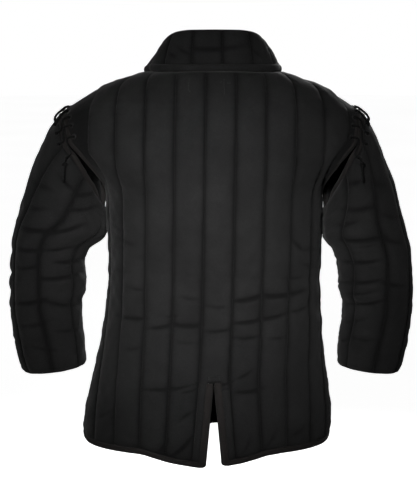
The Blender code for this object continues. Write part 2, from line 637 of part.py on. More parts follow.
def sew_collar(edge, middles, outward, welt_finish, finish):
    """The padded welt on the neck's edge and the standing collar on it."""
    sits = middles.copy()
    sits[:, 2] = edge[:, 2] - WELT_SETTLES * np.linalg.norm((edge - middles)[:, :2], axis=1)
    slope = np.abs(np.gradient(edge[:, 2])) / np.linalg.norm(np.gradient(edge[:, :2], axis=0), axis=1)
    lift = SEAM_GAP * np.sqrt(1 + slope ** 2) * 1.2
    sits[:, 2] += lift
    up = np.tile([0.0, 0.0, WELT_TALL], (len(sits), 1))
    bound_edge("neck_welt", sits, outward, up, WELT_THICK, welt_finish, sides=8)

    lengths = np.concatenate([[0], np.cumsum(np.linalg.norm(np.diff(sits, axis=0), axis=1))])
    back_middle = float(np.interp(0.0, sits[:, 0][sits[:, 1] < 0], lengths[sits[:, 1] < 0]))
    first = back_middle + COLLAR_LINE
    first -= int(first / PITCH) * PITCH
    stops = [(0.0, 0.0)]
    line = first
    while line < lengths[-1] - 0.012:
        if line > 0.012:
            stops.append((line, 0.0))
        for share in (CHANNEL_SIDE, 1 - CHANNEL_SIDE):
            if 0.008 < line + share * PITCH < lengths[-1] - 0.008:
                stops.append((line + share * PITCH, 1.0))
        line += PITCH
    stops.append((lengths[-1], 0.0))
    places = np.array([stop[0] for stop in stops])
    full = np.array([stop[1] for stop in stops])
    base = spaced(sits, places)
    base[:, 2] += WELT_TALL + COLLAR_LIFT
    facing = np.stack([np.interp(places, lengths, outward[:, axis]) for axis in range(3)], axis=1)
    facing /= np.linalg.norm(facing, axis=1, keepdims=True)
    top = np.array([collar_top(point) for point in base])
    rows = len(COLLAR_ROWS)
    outer = np.zeros((rows, len(stops), 3))
    inner = np.zeros_like(outer)
    for i, (share, raised) in enumerate(zip(COLLAR_ROWS, COLLAR_RAISED)):
        middle = base + (top - base) * share
        out = COLLAR_THICK / 2 - COLLAR_QUILT * (1 - raised * full) + COLLAR_BULGE * math.sin(math.pi * share)
        outer[i] = middle + facing * np.broadcast_to(out, full.shape)[:, None]
        inner[i] = middle - facing * (COLLAR_THICK / 2)
    sew_wall("collar", Wall(outer, inner, None), finish)


def collar_top(point):
    """The collar's top edge above a point of its base, in the same direction from the middle of the neck."""
    turn = math.degrees(math.atan2(abs(point[0]), -point[1]))
    wide = column_of(COLLAR_TOP, "wide", turn)
    deep = column_of(COLLAR_TOP, "deep", turn)
    side = 1 if point[0] > 0 else -1
    return np.array([side * wide, deep, column_of(COLLAR_TOP, "height", turn)])


def hem_binding(side, back, front, vent_rows, finish):
    """From the top of the vent down its edge, round the corner and along the hem to the front edge."""
    middle = back.outer.shape[1] // 2
    column = middle if side > 0 else middle - 1
    toward = np.array([-side, 0.0, 0.0])
    down = np.array([0.0, 0.0, -1.0])
    middles, normals, reaches = [], [], []

    def station(wall, row, col, reach):
        middles.append((wall.outer[row, col] + wall.inner[row, col]) / 2)
        normal = wall.normals[row, col] - reach * (wall.normals[row, col] @ reach) / (reach @ reach)
        normals.append(normal / np.linalg.norm(normal))
        reaches.append(reach)

    for row in range(vent_rows, 0, -1):
        narrow = 0.9 if row == vent_rows else 1.0
        station(back, row, column, toward * VENT_WIDE * narrow)
    middles[0] = middles[0] - np.array([0, 0, SEAM_GAP * 2])
    station(back, 0, column, toward * VENT_WIDE + down * HEM_WIDE)
    columns = range(middle + 1, back.outer.shape[1]) if side > 0 else range(middle - 2, -1, -1)
    for col in columns:
        station(back, 0, col, down * HEM_WIDE)
    for col in range(front.outer.shape[1] - 2, -1, -1):
        station(front, 0, col, down * HEM_WIDE)
    name = "hem_binding_right" if side > 0 else "hem_binding_left"
    bound_edge(name, np.array(middles), np.array(normals), np.array(reaches), HEM_THICK, finish)


def front_binding(side, front, finish):
    """Along a front's edge, from below the hem's binding to the neck."""
    middles = (front.outer[:, 0] + front.inner[:, 0]) / 2
    normals = front.normals[:, 0].copy()
    middles = np.vstack([middles[0] - [0, 0, HEM_WIDE + SEAM_GAP], middles])
    normals = np.vstack([normals[0], normals])
    normals[:, 0] = 0.0
    normals /= np.linalg.norm(normals, axis=1, keepdims=True)
    reaches = np.tile([-side * EDGE_WIDE, 0.0, 0.0], (len(middles), 1))
    name = "front_edge_binding_right" if side > 0 else "front_edge_binding_left"
    bound_edge(name, middles, normals, reaches, EDGE_THICK, finish)


def armhole_loop(side, back, front):
    """(middles, normals) of the armhole's bare edge: from the shoulder down behind, then up in front."""
    edge = -1 if side > 0 else 0
    start = back.outer.shape[0] - 1
    low = start - len(ARMHOLE_ROWS)
    rows = list(range(start, low - 1, -1))
    walls = [(back, row, edge) for row in rows] + [(front, row, -1) for row in reversed(rows)]
    middles = np.array([(wall.outer[r, c] + wall.inner[r, c]) / 2 for wall, r, c in walls])
    normals = np.array([wall.normals[r, c] for wall, r, c in walls])
    kept = [0] + [i for i in range(1, len(walls)) if np.linalg.norm(middles[i] - middles[i - 1]) > 0.002]
    kept = [i for i in kept if i == 0 or np.linalg.norm(middles[i] - middles[0]) > 0.002]
    return middles[kept], normals[kept]


def armhole_binding(side, middles, normals, finish):
    away = edge_frame(middles, normals, np.array([0.0, 0.0, -0.35]), closed=True)
    name = "armhole_binding_right" if side > 0 else "armhole_binding_left"
    bound_edge(name, middles, normals, away * EDGE_WIDE, EDGE_THICK, finish, closed=True, gap=SEAM_GAP * 3)
    return away


def head_point(turn, back_edge, front_edge, side):
    """A point on the bare edge of the sleeve's head. turn runs from the shoulder round by the back."""
    turn = turn % (2 * math.pi)
    line = back_edge if turn <= math.pi else front_edge
    share = turn / math.pi if turn <= math.pi else 2 - turn / math.pi
    lengths = np.concatenate([[0], np.cumsum(np.linalg.norm(np.diff(line, axis=0), axis=1))])
    point = spaced(line, [share * lengths[-1]])[0]
    degrees = math.degrees(share * math.pi)
    gap = [column_of(HEAD_GAP, name, degrees) for name in ("out", "down")]
    return point + np.array([side * gap[0], 0.0, -gap[1]])


def ring_ends(ring, side):
    """A ring's outermost and innermost points on the sleeve of that side."""
    more_out, more_in = (0.0, 0.0) if side > 0 else (ring.more_out, ring.more_in)
    return (np.array([side * (ring.out_x + more_out), ring.forward, ring.out_z]),
            np.array([side * (ring.in_x + more_in), ring.forward, ring.in_z]))


def rounded(value):
    """Turns a circle's sine or cosine into that of the sleeve's fuller section."""
    return math.copysign(abs(value) ** (2 / SLEEVE_ROUNDNESS), value)


def sew_sleeve(side, middles, finish, binding):
    """One sleeve, its rows running from the head to the cuff, and the binding on its head."""
    low = int(np.argmin(middles[:, 2]))
    back_edge = middles[:low + 1]
    front_edge = np.vstack([middles[low:], middles[:1]])[::-1]
    columns = [
        (line + share, 0.0 if share == 0 else 1.0)
        for line in range(SLEEVE_CHANNELS) for share in (0, CHANNEL_SIDE, 1 - CHANNEL_SIDE)
    ]
    rows = len(SLEEVE)
    crest = np.zeros((rows, len(columns), 3))
    raised = np.zeros((rows, len(columns)))
    first_centre = sum(ring_ends(SLEEVE[0], side)) / 2
    for i, ring in enumerate(SLEEVE):
        turned = ring.turn_right if side > 0 else ring.turn_left
        out, inn = ring_ends(ring, side)
        centre = (out + inn) / 2
        for j, (line, full) in enumerate(columns):
            turn = math.radians(90 + turned) + line / SLEEVE_CHANNELS * 2 * math.pi
            cos, sin = math.cos(turn), math.sin(turn)
            point = centre + (out - centre) * rounded(cos) + np.array([0.0, -ring.half_deep * rounded(sin), 0.0])
            if ring.head > 0:
                head = head_point(turn, back_edge, front_edge, side)
                point = point * (1 - ring.head) + (head + centre - first_centre) * ring.head
            crest[i, j] = point
            raised[i, j] = full * (0.0 if i in (0, rows - 1) else 1.0)
    name = "right" if side > 0 else "left"
    if side < 0:
        crest = crest[:, ::-1]
        raised = raised[:, ::-1]
    wall = wall_of(crest, raised, tube_normals(crest), SLEEVE_QUILT, SLEEVE_CLOTH)
    sleeve = sew_wall("sleeve_" + name, wall, finish, round_it=True)
    head = (wall.outer[0] + wall.inner[0]) / 2
    away = edge_frame(head, wall.normals[0], wall.outer[2].mean(axis=0), closed=True)
    bound_edge("sleeve_head_binding_" + name, head, wall.normals[0], away * EDGE_WIDE, EDGE_THICK, binding,
               closed=True, gap=SEAM_GAP * 3)
    turned = SLEEVE[0].turn_right if side > 0 else SLEEVE[0].turn_left
    turns = [(90 + turned + line / SLEEVE_CHANNELS * 360) % 360 for line, _ in columns]
    if side < 0:
        turns = turns[::-1]
    return wall, sleeve, away, turns


Strip = namedtuple("Strip", "outer inner away")
Seat = namedtuple("Seat", "piece outer inner edge_outer edge_inner away normal")


def faces_of(made):
    """A tree of a panel's faces, to find its cloth with."""
    return BVHTree.FromPolygons([corner.co for corner in made.data.vertices],
                                [face.vertices[:] for face in made.data.polygons])


def seat_of(piece, faces, strip, along, inward):
    """Where an eyelet sits: so far along a strip's edge and so far in from it, on the cloth's own faces."""
    middles = (strip.outer + strip.inner) / 2
    lengths = np.concatenate([[0], np.cumsum(np.linalg.norm(np.diff(middles, axis=0), axis=1))])
    edge_outer, edge_inner, away = (
        np.array([np.interp(along, lengths, rows[:, axis]) for axis in range(3)]) for rows in strip
    )
    normal = (edge_outer - edge_inner) / np.linalg.norm(edge_outer - edge_inner)
    away = away - normal * (away @ normal)
    away /= np.linalg.norm(away)
    start = Vector((edge_outer + edge_inner) / 2 - away * inward)
    outer = faces.ray_cast(start + Vector(normal) * 0.02, -Vector(normal))[0]
    inner = faces.ray_cast(start - Vector(normal) * 0.02, Vector(normal))[0]
    return Seat(piece, np.array(outer), np.array(inner), edge_outer, edge_inner, away, normal)


def armhole_strip(wall, edge, away, middles):
    """The strip along a panel's armhole edge, from the shoulder down."""
    top = wall.outer.shape[0] - 1
    rows = list(range(top, top - 1 - len(ARMHOLE_ROWS), -1))
    nearest = [int(np.argmin(np.linalg.norm(middles - (wall.outer[r, edge] + wall.inner[r, edge]) / 2, axis=1)))
               for r in rows]
    return Strip(wall.outer[rows, edge], wall.inner[rows, edge], away[nearest])


def head_strip(wall, turns, away, behind):
    """The strip along a sleeve's head, from the shoulder down behind or in front."""
    turns = np.array(turns)
    order = np.argsort(turns)
    ring = np.concatenate([turns[order] - 360, turns[order], turns[order] + 360])
    wanted = np.arange(0, 175, 7.0)
    if not behind:
        wanted = 360 - wanted

    def ringed(rows):
        rows = np.concatenate([rows[order]] * 3)
        return np.stack([np.interp(wanted, ring, rows[:, axis]) for axis in range(3)], axis=1)

    return Strip(ringed(wall.outer[0]), ringed(wall.inner[0]), ringed(away))


def cut_eyelets(panel, seats):
    """Cuts a round hole through a panel at each seat."""
    pattern = bmesh.new()
    for seat in seats:
        turned = Vector(seat.normal).to_track_quat("Z", "Y").to_matrix().to_4x4()
        middle = Matrix.Translation(Vector((seat.outer + seat.inner) / 2))
        bmesh.ops.create_cone(pattern, cap_ends=True, segments=HOLE_SIDES, radius1=HOLE_RADIUS,
                              radius2=HOLE_RADIUS, depth=CLOTH * 3, matrix=middle @ turned)
    cutter = add_object("eyelets_of_" + panel.name, pattern, panel.data.materials[0])
    cutter.hide_render = True
    cutter.display_type = "WIRE"
    cut = panel.modifiers.new("eyelets", "BOOLEAN")
    cut.operation = "DIFFERENCE"
    cut.solver = "EXACT"
    cut.object = cutter


def lace_path(stitches, lift):
    """Points of a cord that crosses outside from each pair's first seat to its second, and goes on inside."""
    path = []
    over = EDGE_WIDE / 2 + SEAM_GAP
    for i, (first, second) in enumerate(stitches):
        if i and stitches[i - 1][1].piece != first.piece:
            for seat in (stitches[i - 1][1], first):
                path.append(seat.edge_inner + seat.away * over - seat.normal * LACE_OVER_BINDING)
        path.append(first.inner - first.normal * lift)
        path.append(first.outer + first.normal * lift)
        for seat in (first, second):
            path.append(seat.edge_outer + seat.away * over + seat.normal * LACE_OVER_BINDING)
        path.append(second.outer + second.normal * lift)
        if i < len(stitches) - 1:
            path.append(second.inner - second.normal * lift)
    return path


def downward(seat):
    down = np.array([0.0, 0.0, -1.0])
    down -= seat.normal * (down @ seat.normal)
    return down / np.linalg.norm(down)


def lace_up(name, stitches, finish, lift, knot_lift, end):
    """One cord through all the stitches. It starts in a stopper knot inside, and its other end hangs free outside."""
    first, last = stitches[0][0], stitches[-1][1]
    path = [first.inner - first.normal * (bend.lift + knot_lift) for bend in STOPPER]
    path += lace_path(stitches, lift)[1:]
    radii = [bend.thick for bend in STOPPER] + [1.0] * (len(path) - len(STOPPER))
    outside = last.outer + last.normal * lift
    for bend in end:
        path.append(outside + downward(last) * bend.down + last.normal * bend.lift)
        radii.append(bend.thick)
    tube_along(name, path, radii, finish)


def main():
    clear_scene()
    cloth = finish_of("black_canvas", *BLACK_CLOTH)
    bound = finish_of("black_binding", *BLACK_BINDING)
    cord = finish_of("black_cord", *BLACK_CORD)
    back, vent_rows, back_panel = sew_back(cloth)
    fronts, front_panels = {}, {}
    for side in (-1, 1):
        fronts[side], front_panels[side] = sew_front(side, cloth)
    sew_collar(*neck_line(back, fronts[-1], fronts[1]), bound, cloth)
    sew_bar_tack(back, vent_rows, bound)
    back_seats = []
    for side in (-1, 1):
        hem_binding(side, back, fronts[side], vent_rows, bound)
        front_binding(side, fronts[side], bound)
        middles, normals = armhole_loop(side, back, fronts[side])
        away = armhole_binding(side, middles, normals, bound)
        sleeve, sleeve_panel, head_away, turns = sew_sleeve(side, middles, cloth, bound)
        behind = (armhole_strip(back, -1 if side > 0 else 0, away, middles),
                  head_strip(sleeve, turns, head_away, True))
        before = (armhole_strip(fronts[side], -1, away, middles), head_strip(sleeve, turns, head_away, False))
        stitches = []
        sleeve_faces = faces_of(sleeve_panel)
        for strips, table, panel in ((before, LACES_BEFORE[::-1], front_panels[side]),
                                     (behind, LACES_BEHIND, back_panel)):
            for stitch in table:
                pair = (seat_of("body", faces_of(panel), strips[0], stitch.body, BODY_EYELET),
                        seat_of("sleeve", sleeve_faces, strips[1], stitch.sleeve, SLEEVE_EYELET))
                stitches.append(pair if panel == back_panel else pair[::-1])
        count = len(LACES_BEFORE)
        cut_eyelets(sleeve_panel, [seat for pair in stitches for seat in pair if seat.piece == "sleeve"])
        back_seats += [first for first, _ in stitches[count:]]
        front_seats = [second for _, second in stitches[:count]]
        name = "shoulder_lace_right" if side > 0 else "shoulder_lace_left"
        lace_up(name, stitches, cord, SHOULDER_LACE_LIFT, SHOULDER_KNOT_LIFT, KNOTTED_END)
        fronts[side] = (fronts[side], front_seats)
    cut_eyelets(back_panel, back_seats)
    strips = {side: front_strip(fronts[side][0], side) for side in (-1, 1)}
    stitches = [
        (seat_of("left", faces_of(front_panels[-1]), strips[-1], along, BODY_EYELET),
         seat_of("right", faces_of(front_panels[1]), strips[1], along + FRONT_SLANT, BODY_EYELET))
        for along in (FRONT_FIRST + i * FRONT_LACE_STEP for i in range(FRONT_LACES))
    ]
    lace_up("front_lace", stitches, cord, FRONT_LACE_LIFT, 0.0, FREE_END)
    cut_eyelets(front_panels[-1], fronts[-1][1] + [first for first, _ in stitches])
    cut_eyelets(front_panels[1], fronts[1][1] + [second for _, second in stitches])


def front_strip(wall, side):
    """The strip along a front's edge, from the neck down."""
    away = np.tile([-float(side), 0.0, 0.0], (wall.outer.shape[0], 1))
    return Strip(wall.outer[::-1, 0], wall.inner[::-1, 0], away)


def sew_bar_tack(back, vent_rows, finish):
    """A short dense bar of stitches above the top of the vent, lying on the back."""
    middle = back.outer.shape[1] // 2
    low, high = back.outer[vent_rows, middle - 1:middle + 1], back.outer[vent_rows + 1, middle - 1:middle + 1]
    outer = np.zeros((3, 5, 3))
    for i, upward in enumerate(np.linspace(*TACK_UP, 3) / np.linalg.norm(high[0] - low[0])):
        for j, across in enumerate(np.linspace(*TACK_ACROSS, 5)):
            left = low[0] + (high[0] - low[0]) * upward
            right = low[1] + (high[1] - low[1]) * upward
            outer[i, j] = left + (right - left) * across
    facing = np.tile(back.normals[vent_rows, middle], (3, 5, 1))
    seated = outer + facing * SEAM_GAP * 2
    sew_wall("vent_bar_tack", Wall(seated + facing * TACK_THICK, seated, facing), finish)


main()
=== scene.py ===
"""The fine cloth, bindings, stitching and cords of a padded, quilted gambeson, made round its fixed frame.

Metres. +X is the wearer's right, +Y the wearer's front, +Z up. The origin is in the middle of the neck
opening, level with the top of the shoulders. The camera looks along +Y at the back.
"""

import math
from collections import namedtuple

import bmesh
import bpy
import numpy as np
from mathutils import Matrix, Vector
from mathutils.bvhtree import BVHTree


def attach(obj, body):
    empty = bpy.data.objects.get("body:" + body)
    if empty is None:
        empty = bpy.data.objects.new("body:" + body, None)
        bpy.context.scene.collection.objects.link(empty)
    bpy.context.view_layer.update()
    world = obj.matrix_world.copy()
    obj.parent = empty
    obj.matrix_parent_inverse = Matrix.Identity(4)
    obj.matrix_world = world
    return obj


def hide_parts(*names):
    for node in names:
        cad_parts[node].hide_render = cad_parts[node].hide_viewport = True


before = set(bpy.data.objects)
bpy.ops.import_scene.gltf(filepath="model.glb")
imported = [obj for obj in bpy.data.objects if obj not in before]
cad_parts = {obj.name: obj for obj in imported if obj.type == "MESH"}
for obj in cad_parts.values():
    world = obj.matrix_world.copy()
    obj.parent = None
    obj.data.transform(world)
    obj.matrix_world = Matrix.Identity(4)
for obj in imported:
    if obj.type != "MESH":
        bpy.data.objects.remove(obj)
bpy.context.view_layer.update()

# Cloth
CLOTH = 0.0095          # the wall through the middle of a channel
QUILT_DEPTH = 0.0045    # how far a line of quilting lies below that
SEAM_GAP = 0.0003
PITCH = 0.056           # from one line of quilting to the next
CHANNEL_SIDE = 0.22     # share of a channel that rises from each line
ROUNDNESS = 2.2         # power of the body's sections: 2 is an ellipse

# Heights of the body
HEM_ROW = 0.018         # the hem's edge to where the wadding is full again
TOP_ROW = 0.014
VENT_TOP = -0.580
ARMPIT = -0.250
SHOULDER_TIP = -0.080
NECK = -0.0055

# Bound edges
HEM_WIDE = 0.010
VENT_WIDE = 0.013
EDGE_WIDE = 0.007
EDGE_THICK = 0.009
HEM_THICK = 0.010
VENT_ROLL = 0.0145
VENT_OPEN = 0.030
VENT_REACH = 0.170
BINDING_LAPS = 0.0030   # how far a binding is folded in over the cloth's edge

# Collar
WELT_TALL = 0.014
WELT_THICK = 0.013
WELT_SETTLES = 0.44
COLLAR_THICK = 0.008
COLLAR_BULGE = 0.003
COLLAR_QUILT = 0.003
COLLAR_SINKS = 0.0022   # how far the collar's bottom edge is sewn down into the welt
COLLAR_LINE = 0.0145
COLLAR_END = 0.012      # the least width of the collar's end channels

# Lacing
LACE_RADIUS = 0.0020
HOLE_RADIUS = 0.0036
BODY_EYELET = 0.009
SLEEVE_EYELET = 0.0075
FRONT_FIRST = 0.030
FRONT_LACES = 8
FRONT_LACE_STEP = 0.056
FRONT_SLANT = 0.018
SHOULDER_LACE_LIFT = 0.0039
SHOULDER_KNOT_LIFT = 0.0040
FRONT_LACE_LIFT = 0.0026
LACE_OVER_BINDING = 0.0068
TACK_UP = (0.003, 0.014)
TACK_ACROSS = (0.12, 0.88)
TACK_STITCHES = 26
TACK_THREAD = 0.0013

# A cord's ends: how far down the cloth from the eyelet and how far out from it. The shoulder's cord has a
# small knot outside, between its second and third bend. Each cord starts in a stopper knot inside.
Bend = namedtuple("Bend", "down lift")
KNOTTED_END = (
    Bend(0.007, 0.0040), Bend(0.010, 0.0068), Bend(0.015, 0.0068), Bend(0.018, 0.0064), Bend(0.046, 0.0075),
)
STOPPER = (Bend(0.0, 0.0105), Bend(0.0, 0.0078), Bend(0.0, 0.0016), Bend(0.0, -0.0010))
FREE_END = (Bend(0.014, 0.0035), Bend(0.030, 0.0050))

# Each stitch of the shoulder's lacing: how far from the shoulder seam down the body's and the sleeve's edge
Stitch = namedtuple("Stitch", "body sleeve")
LACES_BEHIND = (
    Stitch(0.012, 0.017), Stitch(0.031, 0.036), Stitch(0.050, 0.062), Stitch(0.067, 0.083),
    Stitch(0.090, 0.112),
)
LACES_BEFORE = (
    Stitch(0.012, 0.018), Stitch(0.032, 0.040), Stitch(0.052, 0.064), Stitch(0.072, 0.088),
)

# The body's sections, from below the hem up to the neck
Section = namedtuple("Section", "height half_width cut scoop back front sway")
BODY = (
    Section(-0.760, 0.2440, 0.2440, 0.0, 0.169, 0.168, 0.018),
    Section(-0.700, 0.2415, 0.2415, 0.0, 0.165, 0.168, 0.015),
    Section(-0.658, 0.2390, 0.2390, 0.0, 0.162, 0.169, 0.012),
    Section(-0.599, 0.2285, 0.2285, 0.0, 0.156, 0.170, 0.009),
    Section(-0.560, 0.2215, 0.2215, 0.0, 0.151, 0.170, 0.007),
    Section(-0.520, 0.2140, 0.2140, 0.0, 0.146, 0.168, 0.005),
    Section(-0.482, 0.2100, 0.2100, 0.0, 0.141, 0.165, 0.003),
    Section(-0.440, 0.2060, 0.2060, 0.0, 0.138, 0.163, 0.001),
    Section(-0.401, 0.2030, 0.2030, 0.0, 0.139, 0.161, 0.0),
    Section(-0.360, 0.2038, 0.2038, 0.0, 0.142, 0.160, -0.001),
    Section(-0.320, 0.2050, 0.2050, 0.0, 0.146, 0.159, -0.001),
    Section(-0.280, 0.2068, 0.2068, 0.0, 0.150, 0.158, 0.0),
    Section(ARMPIT, 0.2080, 0.2080, 0.0, 0.152, 0.157, 0.0),
    Section(-0.237, 0.2095, 0.2085, 0.001, 0.153, 0.156, 0.0),
    Section(-0.222, 0.2160, 0.2105, 0.004, 0.153, 0.155, 0.0),
    Section(-0.206, 0.2340, 0.2175, 0.009, 0.153, 0.154, 0.0005),
    Section(-0.190, 0.2580, 0.2270, 0.013, 0.153, 0.152, 0.001),
    Section(-0.160, 0.2960, 0.2475, 0.016, 0.151, 0.147, 0.002),
    Section(-0.139, 0.3030, 0.2640, 0.015, 0.147, 0.142, 0.003),
    Section(-0.120, 0.3000, 0.2690, 0.011, 0.143, 0.137, 0.004),
    Section(-0.100, 0.2920, 0.2730, 0.005, 0.137, 0.131, 0.0045),
    Section(SHOULDER_TIP, 0.2810, 0.2810, 0.0, 0.130, 0.124, 0.005),
    Section(-0.068, 0.2640, 0.2640, 0.0, 0.125, 0.119, 0.005),
    Section(-0.057, 0.2470, 0.2470, 0.0, 0.121, 0.114, 0.005),
    Section(-0.039, 0.2165, 0.2165, 0.0, 0.112, 0.106, 0.005),
    Section(-0.026, 0.1840, 0.1840, 0.0, 0.105, 0.100, 0.004),
    Section(-0.0145, 0.1500, 0.1500, 0.0, 0.099, 0.095, 0.002),
    Section(NECK, 0.1190, 0.1190, 0.0, 0.0925, 0.090, 0.0),
)

# Where the middle line of the back's quilting runs
CentreLine = namedtuple("CentreLine", "height across")
BACK_CENTRE = (CentreLine(-0.58, -0.001), CentreLine(-0.44, 0.0055), CentreLine(-0.06, 0.012))

# The edges of the hem and of the neck in front, by distance round from the middle
Level = namedtuple("Level", "around height")
BACK_HEM = (
    Level(0.0, -0.725), Level(0.06, -0.717), Level(0.13, -0.704), Level(0.26, -0.703), Level(0.34, -0.693),
)
FRONT_HEM = (Level(0.0, -0.720), Level(0.12, -0.710), Level(0.34, -0.693))
FRONT_NECK = (Level(0.0, -0.066), Level(0.05, -0.055), Level(0.093, -0.030), Level(0.13, -0.014))

# The main rows of a panel: shares of the way up to the armpit, and of the armhole's edge above it
BELOW_ARMPIT = (0.12, 0.26, 0.37, 0.47, 0.56, 0.65, 0.76, 0.88, 1.0)
ARMHOLE_ROWS = (0.0, 0.09, 0.19, 0.30, 0.42, 0.56, 0.70, 0.85)
LAST_LINE = 4.5 * PITCH     # the outermost line of quilting, from the middle
SIDE_CHANNEL = 0.021        # the least room between that line and the side

# The large folds: where their middle is, their reach across, and their depth.
Fold = namedtuple("Fold", "around height reach rise depth")
BACK_FOLDS = (
    Fold(-0.09, -0.462, 0.120, 0.026, 0.0040),
    Fold(0.13, -0.450, 0.110, 0.024, 0.0045),
    Fold(0.10, -0.395, 0.110, 0.024, 0.0030),
    Fold(-0.10, -0.560, 0.110, 0.024, 0.0025),
    Fold(0.15, -0.560, 0.110, 0.024, 0.0025),
)
FRONT_FOLDS = (
    Fold(-0.12, -0.455, 0.120, 0.026, 0.0040),
    Fold(0.12, -0.470, 0.120, 0.026, 0.0040),
)

# The rings of the right sleeve, and how much further out the left sleeve's lie.
Ring = namedtuple(
    "Ring", "out_x out_z in_x in_z forward half_deep turn_left turn_right head more_out more_in")
SLEEVE = (
    Ring(0.3060, -0.1180, 0.2070, -0.2740, 0.000, 0.091, 26, -33, 1.0, 0.0, 0.0),
    Ring(0.3270, -0.1540, 0.2065, -0.2900, 0.000, 0.087, 20, -28, 0.70, 0.010, 0.0),
    Ring(0.3420, -0.2050, 0.2060, -0.3080, -0.002, 0.083, 10, -22, 0.30, 0.0145, 0.0),
    Ring(0.3520, -0.2560, 0.2095, -0.3280, -0.005, 0.079, 0, -17, 0.0, 0.0145, 0.007),
    Ring(0.3635, -0.3020, 0.2245, -0.3490, -0.008, 0.076, -7, -14, 0.0, 0.0165, 0.0150),
    Ring(0.3750, -0.3480, 0.2335, -0.3760, -0.010, 0.074, -8, -14, 0.0, 0.0120, 0.0130),
    Ring(0.3785, -0.3920, 0.2365, -0.4030, -0.009, 0.073, -8, -12, 0.0, 0.0110, 0.0065),
    Ring(0.3810, -0.4300, 0.2370, -0.4240, -0.006, 0.072, -7, -10, 0.0, 0.0100, 0.0080),
    Ring(0.3800, -0.4680, 0.2455, -0.4520, 0.001, 0.070, -4, -8, 0.0, 0.0120, 0.0080),
    Ring(0.3775, -0.5040, 0.2440, -0.4880, 0.009, 0.068, 0, -6, 0.0, 0.0115, 0.0100),
    Ring(0.3720, -0.5440, 0.2395, -0.5290, 0.018, 0.066, 2, -4, 0.0, 0.0125, 0.0115),
    Ring(0.3640, -0.5820, 0.2390, -0.5680, 0.026, 0.063, 2, -3, 0.0, 0.0115, 0.0100),
    Ring(0.3590, -0.5930, 0.2430, -0.5800, 0.029, 0.061, 2, -3, 0.0, 0.0115, 0.0100),
)
SLEEVE_CHANNELS = 7
SLEEVE_ROUNDNESS = 2.2
SLEEVE_CLOTH = 0.0085
SLEEVE_QUILT = 0.0042
SLEEVE_GIRTH = 0.46

# Where the sleeve rests against the body under the arm, how far round that reaches, how close it comes, the
# most that the cloth gives, and how much lower the body's side seam lies there
TOUCH_HEIGHT = -0.285
TOUCH_FORWARD = -0.012
TOUCH_REACH = 0.040
TOUCH_CLEAR = 0.0008
TOUCH_MOST = 0.0160
SIDE_SEAM_SUNK = 0.0035
SIDE_SEAM_WIDE = 0.010

# How far from the armhole the sleeve's head lies, by turn from the shoulder to the armpit
HeadGap = namedtuple("HeadGap", "turn out down")
HEAD_GAP = (
    HeadGap(0, 0.0165, 0.0080), HeadGap(60, 0.0175, 0.0075), HeadGap(100, 0.0195, 0.0080),
    HeadGap(135, 0.0210, 0.0110), HeadGap(160, 0.0150, 0.0150), HeadGap(180, 0.0092, 0.0160),
)
HEAD_NEARER = 0.0085    # how much closer the head lies to the armhole in front, under the arm

# The collar's top edge, by turn from the middle of the back
CollarTop = namedtuple("CollarTop", "turn wide deep height")
COLLAR_TOP = (
    CollarTop(0, 0.0, -0.0780, 0.0680), CollarTop(30, 0.0430, -0.0740, 0.0675),
    CollarTop(50, 0.0680, -0.0600, 0.0645), CollarTop(70, 0.0850, -0.0350, 0.0560),
    CollarTop(90, 0.0930, -0.0030, 0.0420), CollarTop(115, 0.0880, 0.0330, 0.0240),
    CollarTop(145, 0.0580, 0.0680, 0.0060), CollarTop(170, 0.0170, 0.0810, -0.0040),
    CollarTop(180, 0.0, 0.0820, -0.0050),
)

# The camera, and the photograph's frame and focal length in its own pixels
PHOTO_WIDE = 417
PHOTO_TALL = 500
FOCAL = 1579
CAMERA_AWAY = 3.0
CAMERA_ACROSS = -0.011
CAMERA_HEIGHT = 0.050
CAMERA_TILT = math.radians(7.6)

# Creases that the photograph shows, from one pixel of it to another, with their width in pixels and their
# depth in metres
Crease = namedtuple("Crease", "col row to_col to_row wide deep")


def creases(*rows):
    """A table of creases from rows of the columns above."""
    return [Crease(*row) for row in rows]


